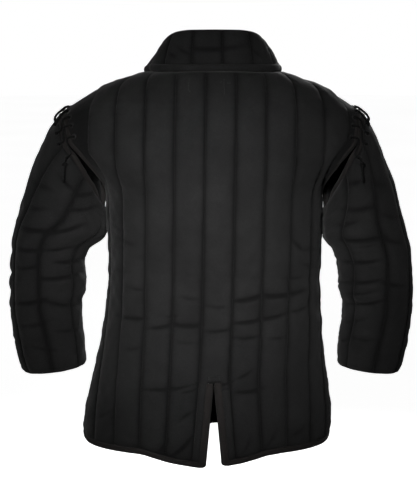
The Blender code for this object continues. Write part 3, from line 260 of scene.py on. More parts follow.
BACK_CREASES = creases(
    (129, 287, 143, 290, 2.2, 0.0011), (118, 315, 144, 319, 2.6, 0.0018),
    (163, 316, 179, 316, 2.2, 0.0013), (150, 328, 172, 324, 2.6, 0.0018),
    (172, 324, 202, 325, 2.6, 0.0020), (235, 301, 261, 296, 2.8, 0.0023),
    (261, 296, 305, 290, 3.0, 0.0025), (236, 323, 261, 319, 2.6, 0.0021),
    (261, 319, 284, 314, 2.6, 0.0018), (292, 312, 308, 306, 2.4, 0.0015),
    (236, 338, 259, 336, 2.4, 0.0014), (271, 338, 284, 337, 2.2, 0.0011),
    (286, 278, 302, 277, 2.2, 0.0011), (125, 349, 139, 348, 2.2, 0.0010),
    (176, 341, 196, 343, 2.2, 0.0008), (206, 331, 230, 329, 2.4, 0.0012),
    (206, 306, 226, 307, 2.6, 0.0008), (180, 297, 198, 299, 2.6, 0.0007),
    (143, 389, 199, 383, 2.4, 0.0017), (179, 393, 199, 388, 2.0, 0.0013),
    (236, 392, 264, 388, 2.4, 0.0016), (214, 386, 232, 382, 1.8, 0.0022),
    (216, 391, 233, 386, 1.6, 0.0014), (236, 379, 252, 370, 2.2, 0.0011),
    (193, 412, 180, 421, 2.2, 0.0010), (170, 457, 191, 438, 2.4, 0.0021),
    (153, 456, 168, 440, 2.2, 0.0013), (244, 452, 250, 437, 2.2, 0.0009),
    (266, 447, 276, 430, 2.2, 0.0008), (96, 418, 112, 410, 2.6, 0.0009),
    (292, 436, 306, 424, 2.4, 0.0009), (295, 241, 303, 250, 2.2, 0.0016),
    (303, 250, 316, 249, 2.2, 0.0013), (116, 236, 134, 245, 2.6, 0.0011),
    (112, 222, 122, 232, 2.4, 0.0012), (300, 262, 316, 268, 2.4, 0.0010),
    (112, 268, 128, 272, 2.4, 0.0009), (180, 69, 196, 74, 3.0, 0.0008),
    (246, 74, 262, 70, 3.0, 0.0008),
)
LEFT_SLEEVE_CREASES = creases(
    (16, 226, 46, 231, 3.0, 0.0021), (48, 233, 84, 224, 2.8, 0.0019),
    (13, 247, 40, 251, 2.8, 0.0018), (44, 250, 74, 246, 2.6, 0.0013),
    (56, 262, 86, 258, 2.8, 0.0022), (12, 268, 38, 266, 2.6, 0.0012),
    (40, 279, 84, 272, 2.8, 0.0018), (12, 303, 44, 300, 2.8, 0.0017),
    (44, 301, 82, 305, 2.6, 0.0013), (18, 326, 48, 322, 2.6, 0.0009),
    (56, 331, 84, 327, 2.4, 0.0010), (30, 346, 60, 350, 2.4, 0.0008),
    (60, 176, 74, 190, 3.0, 0.0014), (30, 178, 52, 190, 3.2, 0.0012),
    (76, 196, 98, 190, 2.8, 0.0017), (70, 210, 96, 206, 2.8, 0.0016),
    (22, 205, 46, 209, 3.0, 0.0011), (56, 120, 48, 140, 3.0, 0.0010),
)
RIGHT_SLEEVE_CREASES = creases(
    (340, 209, 374, 207, 2.8, 0.0018), (342, 240, 384, 237, 2.6, 0.0028),
    (384, 238, 404, 243, 2.6, 0.0013), (352, 247, 378, 244, 2.2, 0.0013),
    (340, 261, 380, 260, 2.6, 0.0018), (342, 282, 380, 280, 2.6, 0.0017),
    (380, 281, 408, 286, 2.6, 0.0011), (345, 293, 374, 292, 2.4, 0.0014),
    (345, 303, 382, 301, 2.6, 0.0017), (342, 322, 366, 318, 2.4, 0.0010),
    (340, 341, 352, 338, 2.4, 0.0018), (352, 338, 374, 340, 2.4, 0.0009),
    (346, 184, 364, 180, 3.0, 0.0014), (336, 225, 358, 221, 2.6, 0.0014),
    (382, 214, 402, 218, 2.8, 0.0010), (370, 180, 388, 186, 3.0, 0.0010),
    (376, 128, 384, 150, 3.0, 0.0009),
)
COLLAR_CREASES = creases(
    (180, 46, 246, 45, 3.4, 0.0012), (178, 48, 189, 54, 2.2, 0.0014),
    (168, 52, 178, 58, 2.4, 0.0010), (254, 50, 262, 57, 2.4, 0.0010),
)

# Creases on the sides that the photograph hides. On the fronts they run by distance round from the middle
# and by height, on the sleeves by distance round from the top and down from the head, all in metres.
FRONT_CREASES = creases(
    (0.035, -0.430, 0.110, -0.436, 0.0050, 0.0018), (0.120, -0.448, 0.215, -0.437, 0.0055, 0.0022),
    (0.048, -0.478, 0.140, -0.488, 0.0050, 0.0018), (0.150, -0.481, 0.205, -0.470, 0.0045, 0.0014),
    (0.090, -0.402, 0.150, -0.396, 0.0045, 0.0011), (0.180, -0.300, 0.230, -0.268, 0.0045, 0.0015),
    (0.200, -0.330, 0.245, -0.306, 0.0045, 0.0011), (0.060, -0.640, 0.120, -0.612, 0.0045, 0.0010),
    (0.150, -0.190, 0.190, -0.225, 0.0050, 0.0012), (0.030, -0.520, 0.085, -0.514, 0.0045, 0.0010),
)
SLEEVE_CREASES = creases(
    (0.130, 0.170, 0.215, 0.178, 0.0055, 0.0026), (0.150, 0.205, 0.240, 0.212, 0.0055, 0.0032),
    (0.120, 0.242, 0.230, 0.236, 0.0055, 0.0028), (0.160, 0.275, 0.225, 0.268, 0.0050, 0.0021),
    (0.250, 0.160, 0.330, 0.172, 0.0050, 0.0018), (0.240, 0.228, 0.320, 0.220, 0.0050, 0.0019),
    (0.130, 0.100, 0.200, 0.112, 0.0050, 0.0014), (0.180, 0.335, 0.260, 0.330, 0.0045, 0.0012),
    (0.110, 0.385, 0.180, 0.392, 0.0045, 0.0010),
)


def smooth_value(knots, values, places):
    """A curve through the table's values that never swings past them."""
    knots, values = np.asarray(knots, float), np.asarray(values, float)
    places = np.clip(np.asarray(places, float), knots[0], knots[-1])
    steps = np.diff(knots)
    slopes = np.diff(values) / steps
    lean = np.zeros(len(knots))
    same = slopes[:-1] * slopes[1:] > 0
    before, after = slopes[:-1][same], slopes[1:][same]
    lean[1:-1][same] = 2 * before * after / (before + after)
    lean[0], lean[-1] = slopes[0], slopes[-1]
    i = np.clip(np.searchsorted(knots, places, side="right") - 1, 0, len(steps) - 1)
    t = (places - knots[i]) / steps[i]
    return (values[i] * (1 + 2 * t) * (1 - t) ** 2 + lean[i] * steps[i] * t * (1 - t) ** 2
            + values[i + 1] * t * t * (3 - 2 * t) + lean[i + 1] * steps[i] * t * t * (t - 1))


def column_of(table, name, places):
    """The values of a table's named column at places along its first column."""
    return smooth_value([row[0] for row in table], [getattr(row, name) for row in table], places)


def side_name(side):
    """The name of the wearer's side: right is positive."""
    return "right" if side > 0 else "left"


def unit(vectors):
    """The same directions, one long."""
    return vectors / np.linalg.norm(vectors, axis=-1, keepdims=True)


def lengths_along(points):
    """The distance from a line's start to each of its points."""
    return np.concatenate([[0], np.cumsum(np.linalg.norm(np.diff(points, axis=0), axis=1))])


# A quarter of a section of each depth to width, by share of the distance round it
RATIOS = np.linspace(0.35, 1.05, 71)
SHARES = np.linspace(0, 1, 601)


def quarter_sections():
    """(x, y, length) of a quarter section one wide, for each ratio and share."""
    turn = np.linspace(0, math.pi / 2, 1601)
    wide = np.sin(turn) ** (2 / ROUNDNESS)
    deep = np.clip(np.cos(turn), 0, 1) ** (2 / ROUNDNESS)
    deep[-1] = 0.0
    xs, ys, lengths = [], [], []
    for ratio in RATIOS:
        along = np.concatenate([[0], np.cumsum(np.hypot(np.diff(wide), np.diff(deep * ratio)))])
        xs.append(np.interp(SHARES * along[-1], along, wide))
        ys.append(np.interp(SHARES * along[-1], along, deep))
        lengths.append(along[-1])
    return np.array(xs), np.array(ys), np.array(lengths)


QUARTER_X, QUARTER_Y, QUARTER_LENGTH = quarter_sections()
HEIGHTS = np.linspace(BODY[0].height, NECK, 900)


def edge_table(face):
    """How far round the cloth reaches at each of HEIGHTS: to the side seam or to the armhole's edge."""
    wide = column_of(BODY, "half_width", HEIGHTS)
    cut = np.minimum(column_of(BODY, "cut", HEIGHTS), wide)
    if face == "front":
        cut = cut - column_of(BODY, "scoop", HEIGHTS)
    ratio = column_of(BODY, face, HEIGHTS) / wide
    place = (ratio - RATIOS[0]) / (RATIOS[1] - RATIOS[0])
    found = []
    for i in range(len(HEIGHTS)):
        low = int(place[i])
        across = QUARTER_X[low] + (QUARTER_X[low + 1] - QUARTER_X[low]) * (place[i] - low)
        length = np.interp(ratio[i], RATIOS, QUARTER_LENGTH) * wide[i]
        share = 1.0 if cut[i] >= wide[i] - 1e-9 else np.interp(cut[i] / wide[i], across, SHARES)
        found.append(share * length)
    return np.array(found)


EDGES = {"back": edge_table("back"), "front": edge_table("front")}


def length_round(height, face):
    """Distance round from the middle of the body to the side seam or the armhole's edge."""
    return np.interp(height, HEIGHTS, EDGES[face])


def body_points(around, height, face):
    """Points on the body's outer face, that far round from the middle, right positive, at those heights."""
    wide = column_of(BODY, "half_width", height)
    deep = column_of(BODY, face, height)
    ratio = deep / wide
    share = np.clip(np.abs(around) / (np.interp(ratio, RATIOS, QUARTER_LENGTH) * wide), 0, 1)
    i = (ratio - RATIOS[0]) / (RATIOS[1] - RATIOS[0])
    j = share * (len(SHARES) - 1)
    low_i, low_j = np.clip(i.astype(int), 0, len(RATIOS) - 2), np.clip(j.astype(int), 0, len(SHARES) - 2)
    i, j = i - low_i, j - low_j

    def looked_up(table):
        low = table[low_i, low_j] * (1 - j) + table[low_i, low_j + 1] * j
        high = table[low_i + 1, low_j] * (1 - j) + table[low_i + 1, low_j + 1] * j
        return low * (1 - i) + high * i

    x = np.sign(around) * looked_up(QUARTER_X) * wide - column_of(BODY, "sway", height)
    y = looked_up(QUARTER_Y) * deep
    return np.stack([x, -y if face == "back" else y, height], axis=-1)


def body_normals(points, face):
    """The outward directions of the body's face at points of it."""
    step = 0.002
    height = points[..., 2]
    wide, deep = column_of(BODY, "half_width", height), column_of(BODY, face, height)
    low, high = np.maximum(height - step, BODY[0].height), np.minimum(height + step, BODY[-1].height)
    widening = (column_of(BODY, "half_width", high) - column_of(BODY, "half_width", low)) / (high - low)
    deepening = (column_of(BODY, face, high) - column_of(BODY, face, low)) / (high - low)
    x = points[..., 0] + column_of(BODY, "sway", height)
    across, along = np.abs(x) / wide, np.abs(points[..., 1]) / deep
    ahead = points[..., 1] if face == "front" else -np.abs(points[..., 1])
    return unit(np.stack([
        np.copysign(across ** (ROUNDNESS - 1) / wide, x),
        np.copysign(along ** (ROUNDNESS - 1) / deep, ahead),
        -(across ** ROUNDNESS * widening / wide + along ** ROUNDNESS * deepening / deep),
    ], axis=-1))


def top_of_column(around, face):
    """Where a column ends: on the neck's edge near the middle, further out on the shoulder seam."""
    distance = abs(around)
    corner = float(length_round(NECK, face))
    if distance <= corner:
        if face == "back":
            return NECK
        return float(column_of((*FRONT_NECK, Level(corner, NECK)), "height", distance))
    low, high = SHOULDER_TIP, NECK
    for _ in range(40):
        middle = (low + high) / 2
        if length_round(middle, face) > distance:
            low = middle
        else:
            high = middle
    return low


# A column of a panel's grid. kind says what its place is measured from, and raised how full the wadding is
Column = namedtuple("Column", "kind place raised")


def half_columns(first_line, lines, face):
    """The main columns of half a panel, from its first line of quilting out to the side."""
    corner = float(length_round(NECK, face))
    columns = []
    for i in range(lines - 1):
        start = first_line + i * PITCH
        columns.append(Column("line", start, 0.0))
        columns.append(Column("line", start + CHANNEL_SIDE * PITCH, 1.0))
        kind = "corner" if start < corner - 0.02 and start + PITCH > corner - 0.004 else "line"
        columns.append(Column(kind, start + (1 - CHANNEL_SIDE) * PITCH, 1.0))
    columns.append(Column("line", first_line + (lines - 1) * PITCH, 0.0))
    return columns + [Column("side", 0.30, 1.0), Column("side", 0.72, 1.0), Column("side", 1.0, 0.0)]


def quilt_centre(height, face):
    """How far round from the middle of the section the quilting's own middle lies."""
    sway = column_of(BODY, "sway", height)
    return sway if face == "front" else column_of(BACK_CENTRE, "across", height) + sway


def place_round(column, side, height, face):
    """The signed distances round from the middle of the section at which a column lies at those heights."""
    height = np.asarray(height, float)
    edge = length_round(height, face) - SEAM_GAP / 2
    if column.kind == "fixed":
        return side * np.minimum(column.place, edge)
    centre = quilt_centre(height, face)
    full = LAST_LINE + side * centre
    below_tip = height <= SHOULDER_TIP
    last = np.minimum(full, edge - np.where(below_tip, SIDE_CHANNEL, 0.0))
    placed = side * centre + column.place
    if column.kind == "corner":
        bent = np.clip((height - ARMPIT) / (SHOULDER_TIP - ARMPIT), 0, 1)
        return side * np.minimum(placed + (length_round(NECK, face) - placed) * bent, edge)
    if column.kind == "line":
        squeezed = full - PITCH
        nearer = squeezed + (placed - squeezed) * (last - squeezed) / (full - squeezed)
        placed = np.where(below_tip & (placed > squeezed), nearer, placed)
        return side * np.minimum(placed, edge)
    return side * (last + (edge - last) * column.place)


def armhole_heights(face):
    """Heights of the rows above the armpit, where they meet the armhole's edge."""
    heights = np.linspace(SHOULDER_TIP, ARMPIT, 60)
    points = body_points(length_round(heights, face), heights, face)
    lengths = lengths_along(points)
    return np.interp([share * lengths[-1] for share in reversed(ARMHOLE_ROWS)], lengths, heights)


def column_heights(column, side, face, hem):
    """Heights of a column's main rows, from the hem up."""
    low = float(column_of(hem, "height", abs(place_round(column, side, -0.70, face))))
    tip = float(place_round(Column("line", LAST_LINE, 0.0), side, SHOULDER_TIP, face))
    line_top = top_of_column(tip, face)
    if column.kind == "side":
        high = line_top + (SHOULDER_TIP - line_top) * column.place
    else:
        high = top_of_column(float(place_round(column, side, SHOULDER_TIP, face)), face)
    heights = [low, low + HEM_ROW]
    heights += [low + HEM_ROW + (ARMPIT - low - HEM_ROW) * share for share in BELOW_ARMPIT]
    shares = (armhole_heights(face) - ARMPIT) / (SHOULDER_TIP - ARMPIT)
    return np.array(heights + [ARMPIT + (high - ARMPIT) * share for share in shares])


# Where the fine columns lie in each step between main columns, by whether a line of quilting is at its start
# or its end, and the spacing of the other columns and of the rows
FROM_LINE = (0.0, 0.06, 0.17, 0.36, 0.66)
TO_LINE = (0.0, 0.34, 0.64, 0.83, 0.94)
BETWEEN_LINES = (0.0, 0.03, 0.09, 0.20, 0.38, 0.62, 0.80, 0.91, 0.97)
FINE_STEP = 0.0055
ROW_STEP = 0.0031


def fine_columns(columns, widths):
    """(main column, share of the way to the next) for each fine column."""
    fine = []
    for j in range(len(columns) - 1):
        line_first, line_last = columns[j].raised == 0.0, columns[j + 1].raised == 0.0
        if line_first and line_last:
            shares = BETWEEN_LINES
        elif line_first:
            shares = FROM_LINE
        elif line_last:
            shares = TO_LINE
        else:
            count = max(3, round(widths[j] / FINE_STEP))
            shares = tuple(i / count for i in range(count))
        fine += [(j, share) for share in shares]
    return fine + [(len(columns) - 2, 1.0)]


def fullness(share):
    """How full the wadding is at a share of the way across a channel: steep at the stitching."""
    from_middle = np.abs(1 - 2 * np.clip(share, 0, 1))
    return (1 - from_middle ** 2.8) ** 0.62


def at_edge(distance, reach):
    """How full the wadding is at a distance from a bare edge."""
    return (1 - (1 - np.clip(distance / reach, 0, 1)) ** 2.2) ** 0.6


def ripples(u, v, seed, long, short, count=14):
    """A smooth uneven field from about -1 to 1, with waves that long across and that short along."""
    dice = np.random.default_rng(seed)
    field = np.zeros(np.shape(u))
    for _ in range(count):
        across = dice.normal(0, 1) / long
        along = dice.choice((-1, 1)) * dice.uniform(0.6, 1.5) / short
        field += np.sin(2 * math.pi * (u * across + v * along + dice.uniform(0, 1)))
    return field / math.sqrt(count / 2)


def in_photo(points):
    """(column, row) of points in the photograph, in its pixels."""
    offset = points - np.array([CAMERA_ACROSS, -CAMERA_AWAY, CAMERA_HEIGHT])
    ahead = offset[..., 1] * math.cos(CAMERA_TILT) - offset[..., 2] * math.sin(CAMERA_TILT)
    above = offset[..., 1] * math.sin(CAMERA_TILT) + offset[..., 2] * math.cos(CAMERA_TILT)
    return PHOTO_WIDE / 2 + FOCAL * offset[..., 0] / ahead, PHOTO_TALL / 2 - FOCAL * above / ahead


def creased(u, v, table):
    """How deep the creases press the cloth in. Beside each trough, the cloth stands out a little."""
    pressed = np.zeros(np.shape(u))
    for crease in table:
        run = np.array([crease.to_col - crease.col, crease.to_row - crease.row])
        length = np.hypot(*run)
        aim = run / length
        du, dv = u - crease.col, v - crease.row
        along = (du * aim[0] + dv * aim[1]) / length
        beyond = np.clip(np.abs(along - 0.5) - 0.5, 0, None) * length
        bow = 0.06 * length * (1 - (2 * np.clip(along, 0, 1) - 1) ** 2)
        aside = dv * aim[0] - du * aim[1] - bow
        middle = 1 - np.abs(2 * np.clip(along, 0, 1) - 1) ** 2
        taper = 1.25 * np.exp(-(beyond / (crease.wide * 1.5)) ** 2) * (0.35 + 0.65 * middle)
        trough = np.exp(-(aside / (0.8 * crease.wide)) ** 2)
        ridge = np.exp(-((aside + 2.3 * crease.wide) / (1.5 * crease.wide)) ** 2)
        ridge += 0.6 * np.exp(-((aside - 2.4 * crease.wide) / (1.5 * crease.wide)) ** 2)
        pressed += crease.deep * taper * (trough - 0.40 * ridge)
    return pressed


def seen_from_camera(points, normals):
    """From 0 to 1, how squarely the cloth faces the camera."""
    toward = unit(np.array([CAMERA_ACROSS, -CAMERA_AWAY, CAMERA_HEIGHT]) - points)
    return np.clip(((normals * toward).sum(axis=-1) - 0.05) / 0.3, 0, 1)


# A cloth wall's points and outward directions, how hollow it is there, and their places on the flat cloth
Wall = namedtuple("Wall", "outer inner normals hollow across along")


def vent_spread(around, height, face):
    """How far the open vent pushes the back's cloth aside."""
    if face == "front":
        return np.zeros(np.shape(around))
    centre = quilt_centre(height, face)
    share = np.clip((VENT_TOP - height) / (VENT_TOP - BACK_HEM[0].height), 0, None)
    fade = np.clip(1 - np.abs(around - centre) / VENT_REACH, 0, None)
    return np.where(around >= centre, 1, -1) * share * fade * VENT_OPEN / 2


def panel_wall(columns, sides, face, hem, folds):
    """The crests, fullness and directions of a panel of the body, its rows running from the hem up."""
    main_rows = 2 + len(BELOW_ARMPIT) + len(ARMHOLE_ROWS)
    armpit_row = main_rows - 1 - len(ARMHOLE_ROWS)
    main_heights = np.stack([column_heights(c, s, face, hem) for c, s in zip(columns, sides)], axis=1)
    steps = np.diff(main_heights.mean(axis=1))
    rows = []
    for i, step in enumerate(steps):
        count = max(2, round(step / ROW_STEP))
        rows += [i + k / count for k in range(count)]
    rows = np.array(rows + [main_rows - 1.0])
    index = np.arange(main_rows)
    heights = np.stack([np.interp(rows, index, main_heights[:, j]) for j in range(len(columns))], axis=1)
    places = np.zeros_like(heights)
    for j, (column, side) in enumerate(zip(columns, sides)):
        places[:, j] = place_round(column, side, heights[:, j], face)
        edge = side * (length_round(heights[:, j], face) - SEAM_GAP / 2)
        if column.kind == "side":
            share = np.clip((rows - armpit_row) / (main_rows - 1 - armpit_row), 0, 1) ** 6
            places[:, j] += (edge - places[:, j]) * share
    widths = np.abs(np.diff(places[len(rows) // 3]))
    fine = fine_columns(columns, widths)
    left = np.array([j for j, _ in fine])
    share = np.array([t for _, t in fine])
    around = places[:, left] * (1 - share) + places[:, left + 1] * share
    height = heights[:, left] * (1 - share) + heights[:, left + 1] * share
    edge = length_round(height, face) - SEAM_GAP / 2
    corner = float(length_round(NECK, face)) - 0.001
    on_shoulder = np.abs(around[-1]) > corner
    around[-1, on_shoulder] = (np.sign(around[-1]) * edge[-1])[on_shoulder]
    around = np.sign(around) * np.minimum(np.abs(around), edge)

    lines = [j for j, column in enumerate(columns) if column.raised == 0.0]
    full = np.zeros_like(around)
    for start, stop in zip(lines, lines[1:]):
        inside = (left >= start) & (left < stop)
        across = (around[:, inside] - places[:, [start]]) / (places[:, [stop]] - places[:, [start]] + 1e-9)
        full[:, inside] = fullness(across)
        if columns[stop].kind == "side" or columns[start].kind == "side":
            fade = np.clip((ARMPIT + 0.03 - height[:, inside]) / 0.05, 0, 1)
            full[:, inside] *= fade
    down_from_top = height[-1] - height
    full *= at_edge(height - height[0], HEM_ROW) * at_edge(down_from_top, TOP_ROW)

    point = body_points(around + vent_spread(around, height, face), height, face)
    normals = body_normals(point, face)
    pressed = np.zeros_like(around)
    for fold in folds:
        pressed += fold.depth * np.exp(
            -((around - fold.around) / fold.reach) ** 2 - ((height - fold.height) / fold.rise) ** 2)
    at_side = np.clip((edge - np.abs(around)) / 0.012, 0, 1)
    crest = point - normals * (pressed * at_side)[..., None]
    return crest, full, normals, around, height, left


def finished_wall(crest, full, normals, across, along, pressed, quilt, cloth, seed):
    """A wall whose outer face is raised in channels, with puckers and creases, over a plain inner face."""
    near_line = np.clip(1 - full, 0, 1)
    pucker = ripples(across, along, seed, 0.055, 0.017) * 0.00042 * (0.25 + near_line)
    lumps = ripples(across, along, seed + 1, 0.050, 0.048) * 0.00050 * full
    weight = 0.35 + 0.65 * full
    sunk = quilt * (1 - full) + (pressed + pucker + lumps) * weight
    outer = crest - normals * sunk[..., None]
    inner = crest - normals * cloth
    # How hollow the wall is also darkens its colour in the finish: painted shade along the lines of quilting
    # and in the creases
    hollow = np.clip((near_line ** 2 * 0.8 + np.clip(pressed, 0, None) / 0.002 * 0.5), 0, 1)
    return Wall(outer, inner, normals, hollow, across, along)


def back_columns():
    """The back's main columns and their sides, from the wearer's left, with the vent's edges."""
    beside = PITCH / 2 - VENT_ROLL / 2
    edge = PITCH / 2 - VENT_ROLL
    half = [Column("line", edge, 1.0), Column("line", beside, 1.0)] + half_columns(PITCH / 2, 5, "back")
    return list(reversed(half)) + half, [-1] * len(half) + [1] * len(half)


# Sewing

def flat_pattern(rows, columns):
    """A flat sheet of quads, and for each corner its row and column."""
    pattern = bmesh.new()
    bmesh.ops.create_grid(pattern, x_segments=columns - 1, y_segments=rows - 1, size=1.0)
    return pattern, {
        corner: (round((corner.co.y + 1) / 2 * (rows - 1)), round((corner.co.x + 1) / 2 * (columns - 1)))
        for corner in pattern.verts
    }


def tube_pattern(rows, columns):
    """A plain tube of quads, and for each corner its row and column."""
    pattern = bmesh.new()
    spine = [pattern.verts.new((1.0, 0.0, float(row))) for row in range(rows)]
    edges = [pattern.edges.new(pair) for pair in zip(spine, spine[1:])]
    bmesh.ops.spin(pattern, geom=spine + edges, cent=(0, 0, 0), axis=(0, 0, 1), angle=2 * math.pi,
                   steps=columns, use_merge=True)
    return pattern, {
        corner: (round(corner.co.z),
                 round(math.atan2(corner.co.y, corner.co.x) / (2 * math.pi) * columns) % columns)
        for corner in pattern.verts
    }


def object_of(name, pattern, finish=None):
    """Turns a bmesh into an object of the scene, with its finish."""
    mesh = bpy.data.meshes.new(name)
    pattern.to_mesh(mesh)
    pattern.free()
    if finish:
        mesh.materials.append(finish)
    made = bpy.data.objects.new(name, mesh)
    bpy.context.scene.collection.objects.link(made)
    return made


def add_piece(name, pattern, finish, replaced=()):
    """Turns a bmesh into a smooth piece that rides on the frame and stands for the CAD nodes it names."""
    bmesh.ops.recalc_face_normals(pattern, faces=pattern.faces[:])
    if pattern.calc_volume(signed=True) < 0:
        bmesh.ops.reverse_faces(pattern, faces=pattern.faces[:])
    piece = object_of(name, pattern, finish)
    piece.data.shade_smooth()
    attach(piece, "root")
    if replaced:
        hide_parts(*replaced)
    return piece


def sew_wall(name, wall, finish, replaced, round_it=False, left_out=(), total=0.0):
    """A closed cloth wall between a Wall's outer and inner points, with the cloth's map and its hollows."""
    rows, columns = wall.outer.shape[:2]
    pattern, places = tube_pattern(rows, columns) if round_it else flat_pattern(rows, columns)
    if left_out:
        gone = [
            face for face in pattern.faces
            if (min(places[c][0] for c in face.verts), min(places[c][1] for c in face.verts)) in left_out
        ]
        bmesh.ops.delete(pattern, geom=gone, context="FACES")
    kept = {corner: places[corner] for corner in pattern.verts}
    lifted = bmesh.ops.extrude_face_region(pattern, geom=pattern.faces[:], use_keep_orig=True)["geom"]
    nearest = {tuple(round(value, 4) for value in corner.co): place for corner, place in kept.items()}
    for corner in lifted:
        if isinstance(corner, bmesh.types.BMVert):
            kept[corner] = ("outer", *nearest[tuple(round(value, 4) for value in corner.co)])
    pattern.verts.index_update()
    where = np.zeros((len(pattern.verts), 3), int)
    for corner, place in kept.items():
        points = wall.outer if place[0] == "outer" else wall.inner
        corner.co = Vector(points[place[-2], place[-1]])
        where[corner.index] = (place[-2], place[-1], place[0] == "outer")
    piece = add_piece(name, pattern, finish, replaced)
    mesh = piece.data
    row, column, outside = where.T
    # The hollow attribute darkens the cloth's colour in its finish: painted shade along the lines of quilting
    # and in the creases. The inner face is darkened by a fixed 0.3
    hollow = np.where(outside == 1, wall.hollow[row, column], 0.3).astype(np.float32)
    mesh.attributes.new("hollow", "FLOAT", "POINT").data.foreach_set("value", hollow)
    corners = np.zeros(len(mesh.loops), int)
    mesh.loops.foreach_get("vertex_index", corners)
    flat = np.stack([wall.across[row, column], wall.along[row, column]], axis=1)[corners].reshape(-1, 4, 2)
    if total:
        wraps = (flat[..., 0].max(axis=1) - flat[..., 0].min(axis=1)) > total / 2
        low = flat[..., 0] < flat[..., 0].min(axis=1, keepdims=True) + total / 4
        flat[..., 0] += np.where(wraps[:, None] & low, total, 0.0)
    mesh.uv_layers.new(name="cloth").data.foreach_set("uv", flat.reshape(-1).astype(np.float32))
    return piece


def roll(name, middles, normals, reaches, thick, finish, replaced=(), closed=False, gap=SEAM_GAP, sides=16,
         seed=1, pucker=0.035, laps=True):
    """A rolled binding along an edge, a little gathered by its sewing."""
    count = len(middles)
    pattern, places = tube_pattern(count + (1 if closed else 0), sides)
    lengths = lengths_along(middles)
    total = lengths[-1] + (np.linalg.norm(middles[0] - middles[-1]) if closed else 0.0)
    waves = max(4, round(total / 0.009))
    turns = 2 * math.pi * lengths / total
    dice = np.random.default_rng(seed)
    gather = sum(np.sin(turns * round(waves * scale) + dice.uniform(0, 6)) * part
                 for scale, part in ((1.0, 0.5), (0.62, 0.4), (0.31, 0.5), (1.43, 0.25)))
    wide = np.linalg.norm(reaches, axis=1, keepdims=True)
    start = middles - reaches / wide * (BINDING_LAPS if laps else -gap)
    reaches = middles + reaches * (1 + gap / wide) - start
    centres = start + reaches / 2
    for corner, (row, column) in places.items():
        i = row % count
        turn = 2 * math.pi * column / sides
        swell = 1 + pucker * gather[i] * (0.5 + 0.5 * abs(math.sin(turn)))
        flat = math.copysign(abs(math.sin(turn)) ** 0.85, math.sin(turn))
        proud = normals[i] * (thick / 2) * flat * swell
        corner.co = Vector(centres[i] + reaches[i] / 2 * math.cos(turn) + proud)
    if closed:
        bmesh.ops.remove_doubles(pattern, verts=pattern.verts[:], dist=1e-6)
    else:
        bmesh.ops.holes_fill(pattern, edges=[edge for edge in pattern.edges if edge.is_boundary], sides=0)
    return add_piece(name, pattern, finish, replaced)


def edge_frame(points, normals, inside, closed=False):
    """Unit vectors that point away from the cloth along its edge."""
    if closed:
        along = np.roll(points, -2, axis=0) - np.roll(points, 2, axis=0)
    else:
        along = np.gradient(points, axis=0)
    away = unit(np.cross(along, normals))
    return -away if ((points - inside) * away).sum() < 0 else away


def even_line(points, step, closed=False):
    """Indices of points along a line that stand about a step apart."""
    kept = [0]
    for i in range(1, len(points)):
        if np.linalg.norm(points[i] - points[kept[-1]]) > step:
            kept.append(i)
    if closed:
        while len(kept) > 3 and np.linalg.norm(points[kept[-1]] - points[kept[0]]) < step * 0.7:
            kept.pop()
    elif kept[-1] != len(points) - 1:
        kept[-1] = len(points) - 1
    return kept


def spaced(points, places):
    """Points along a line at the given distances from its start."""
    lengths = lengths_along(points)
    return np.stack([np.interp(places, lengths, points[:, axis]) for axis in range(points.shape[1])], axis=1)


# Colours and finishes

def paint(code):
    """A linear colour from an sRGB hex value."""
    parts = [int(code[i:i + 2], 16) / 255 for i in (1, 3, 5)]
    return (*(part / 12.92 if part <= 0.04045 else ((part + 0.055) / 1.055) ** 2.4 for part in parts), 1.0)


def add_node(tree, kind, links=(), settings=(), **values):
    """A node with its settings, its sockets' values and its links, each (socket, node, output)."""
    node = tree.nodes.new(kind)
    for name, value in settings:
        setattr(node, name, value)
    for name, value in values.items():
        node.inputs[name.replace("_", " ")].default_value = value
    for socket, source, output in links:
        tree.links.new(source.outputs[output], node.inputs[socket])
    return node


def matt_finish(name, rough, sheen, sheen_rough):
    """A new fabric finish, with its nodes and its shader."""
    finish = bpy.data.materials.new(name)
    finish.use_nodes = True
    shader = finish.node_tree.nodes["Principled BSDF"]
    for socket, value in (("Roughness", rough), ("Specular IOR Level", 0.25), ("Sheen Weight", sheen),
                          ("Sheen Roughness", sheen_rough)):
        shader.inputs[socket].default_value = value
    return finish, finish.node_tree, shader


def colour_along(tree, shader, source, output, *stops):
    """Colours a finish along a ramp from one (position, colour) to the other."""
    ramp = add_node(tree, "ShaderNodeValToRGB", [("Fac", source, output)])
    for element, (position, colour) in zip(ramp.color_ramp.elements, stops):
        element.position, element.color = position, colour
    tree.links.new(ramp.outputs["Color"], shader.inputs["Base Color"])


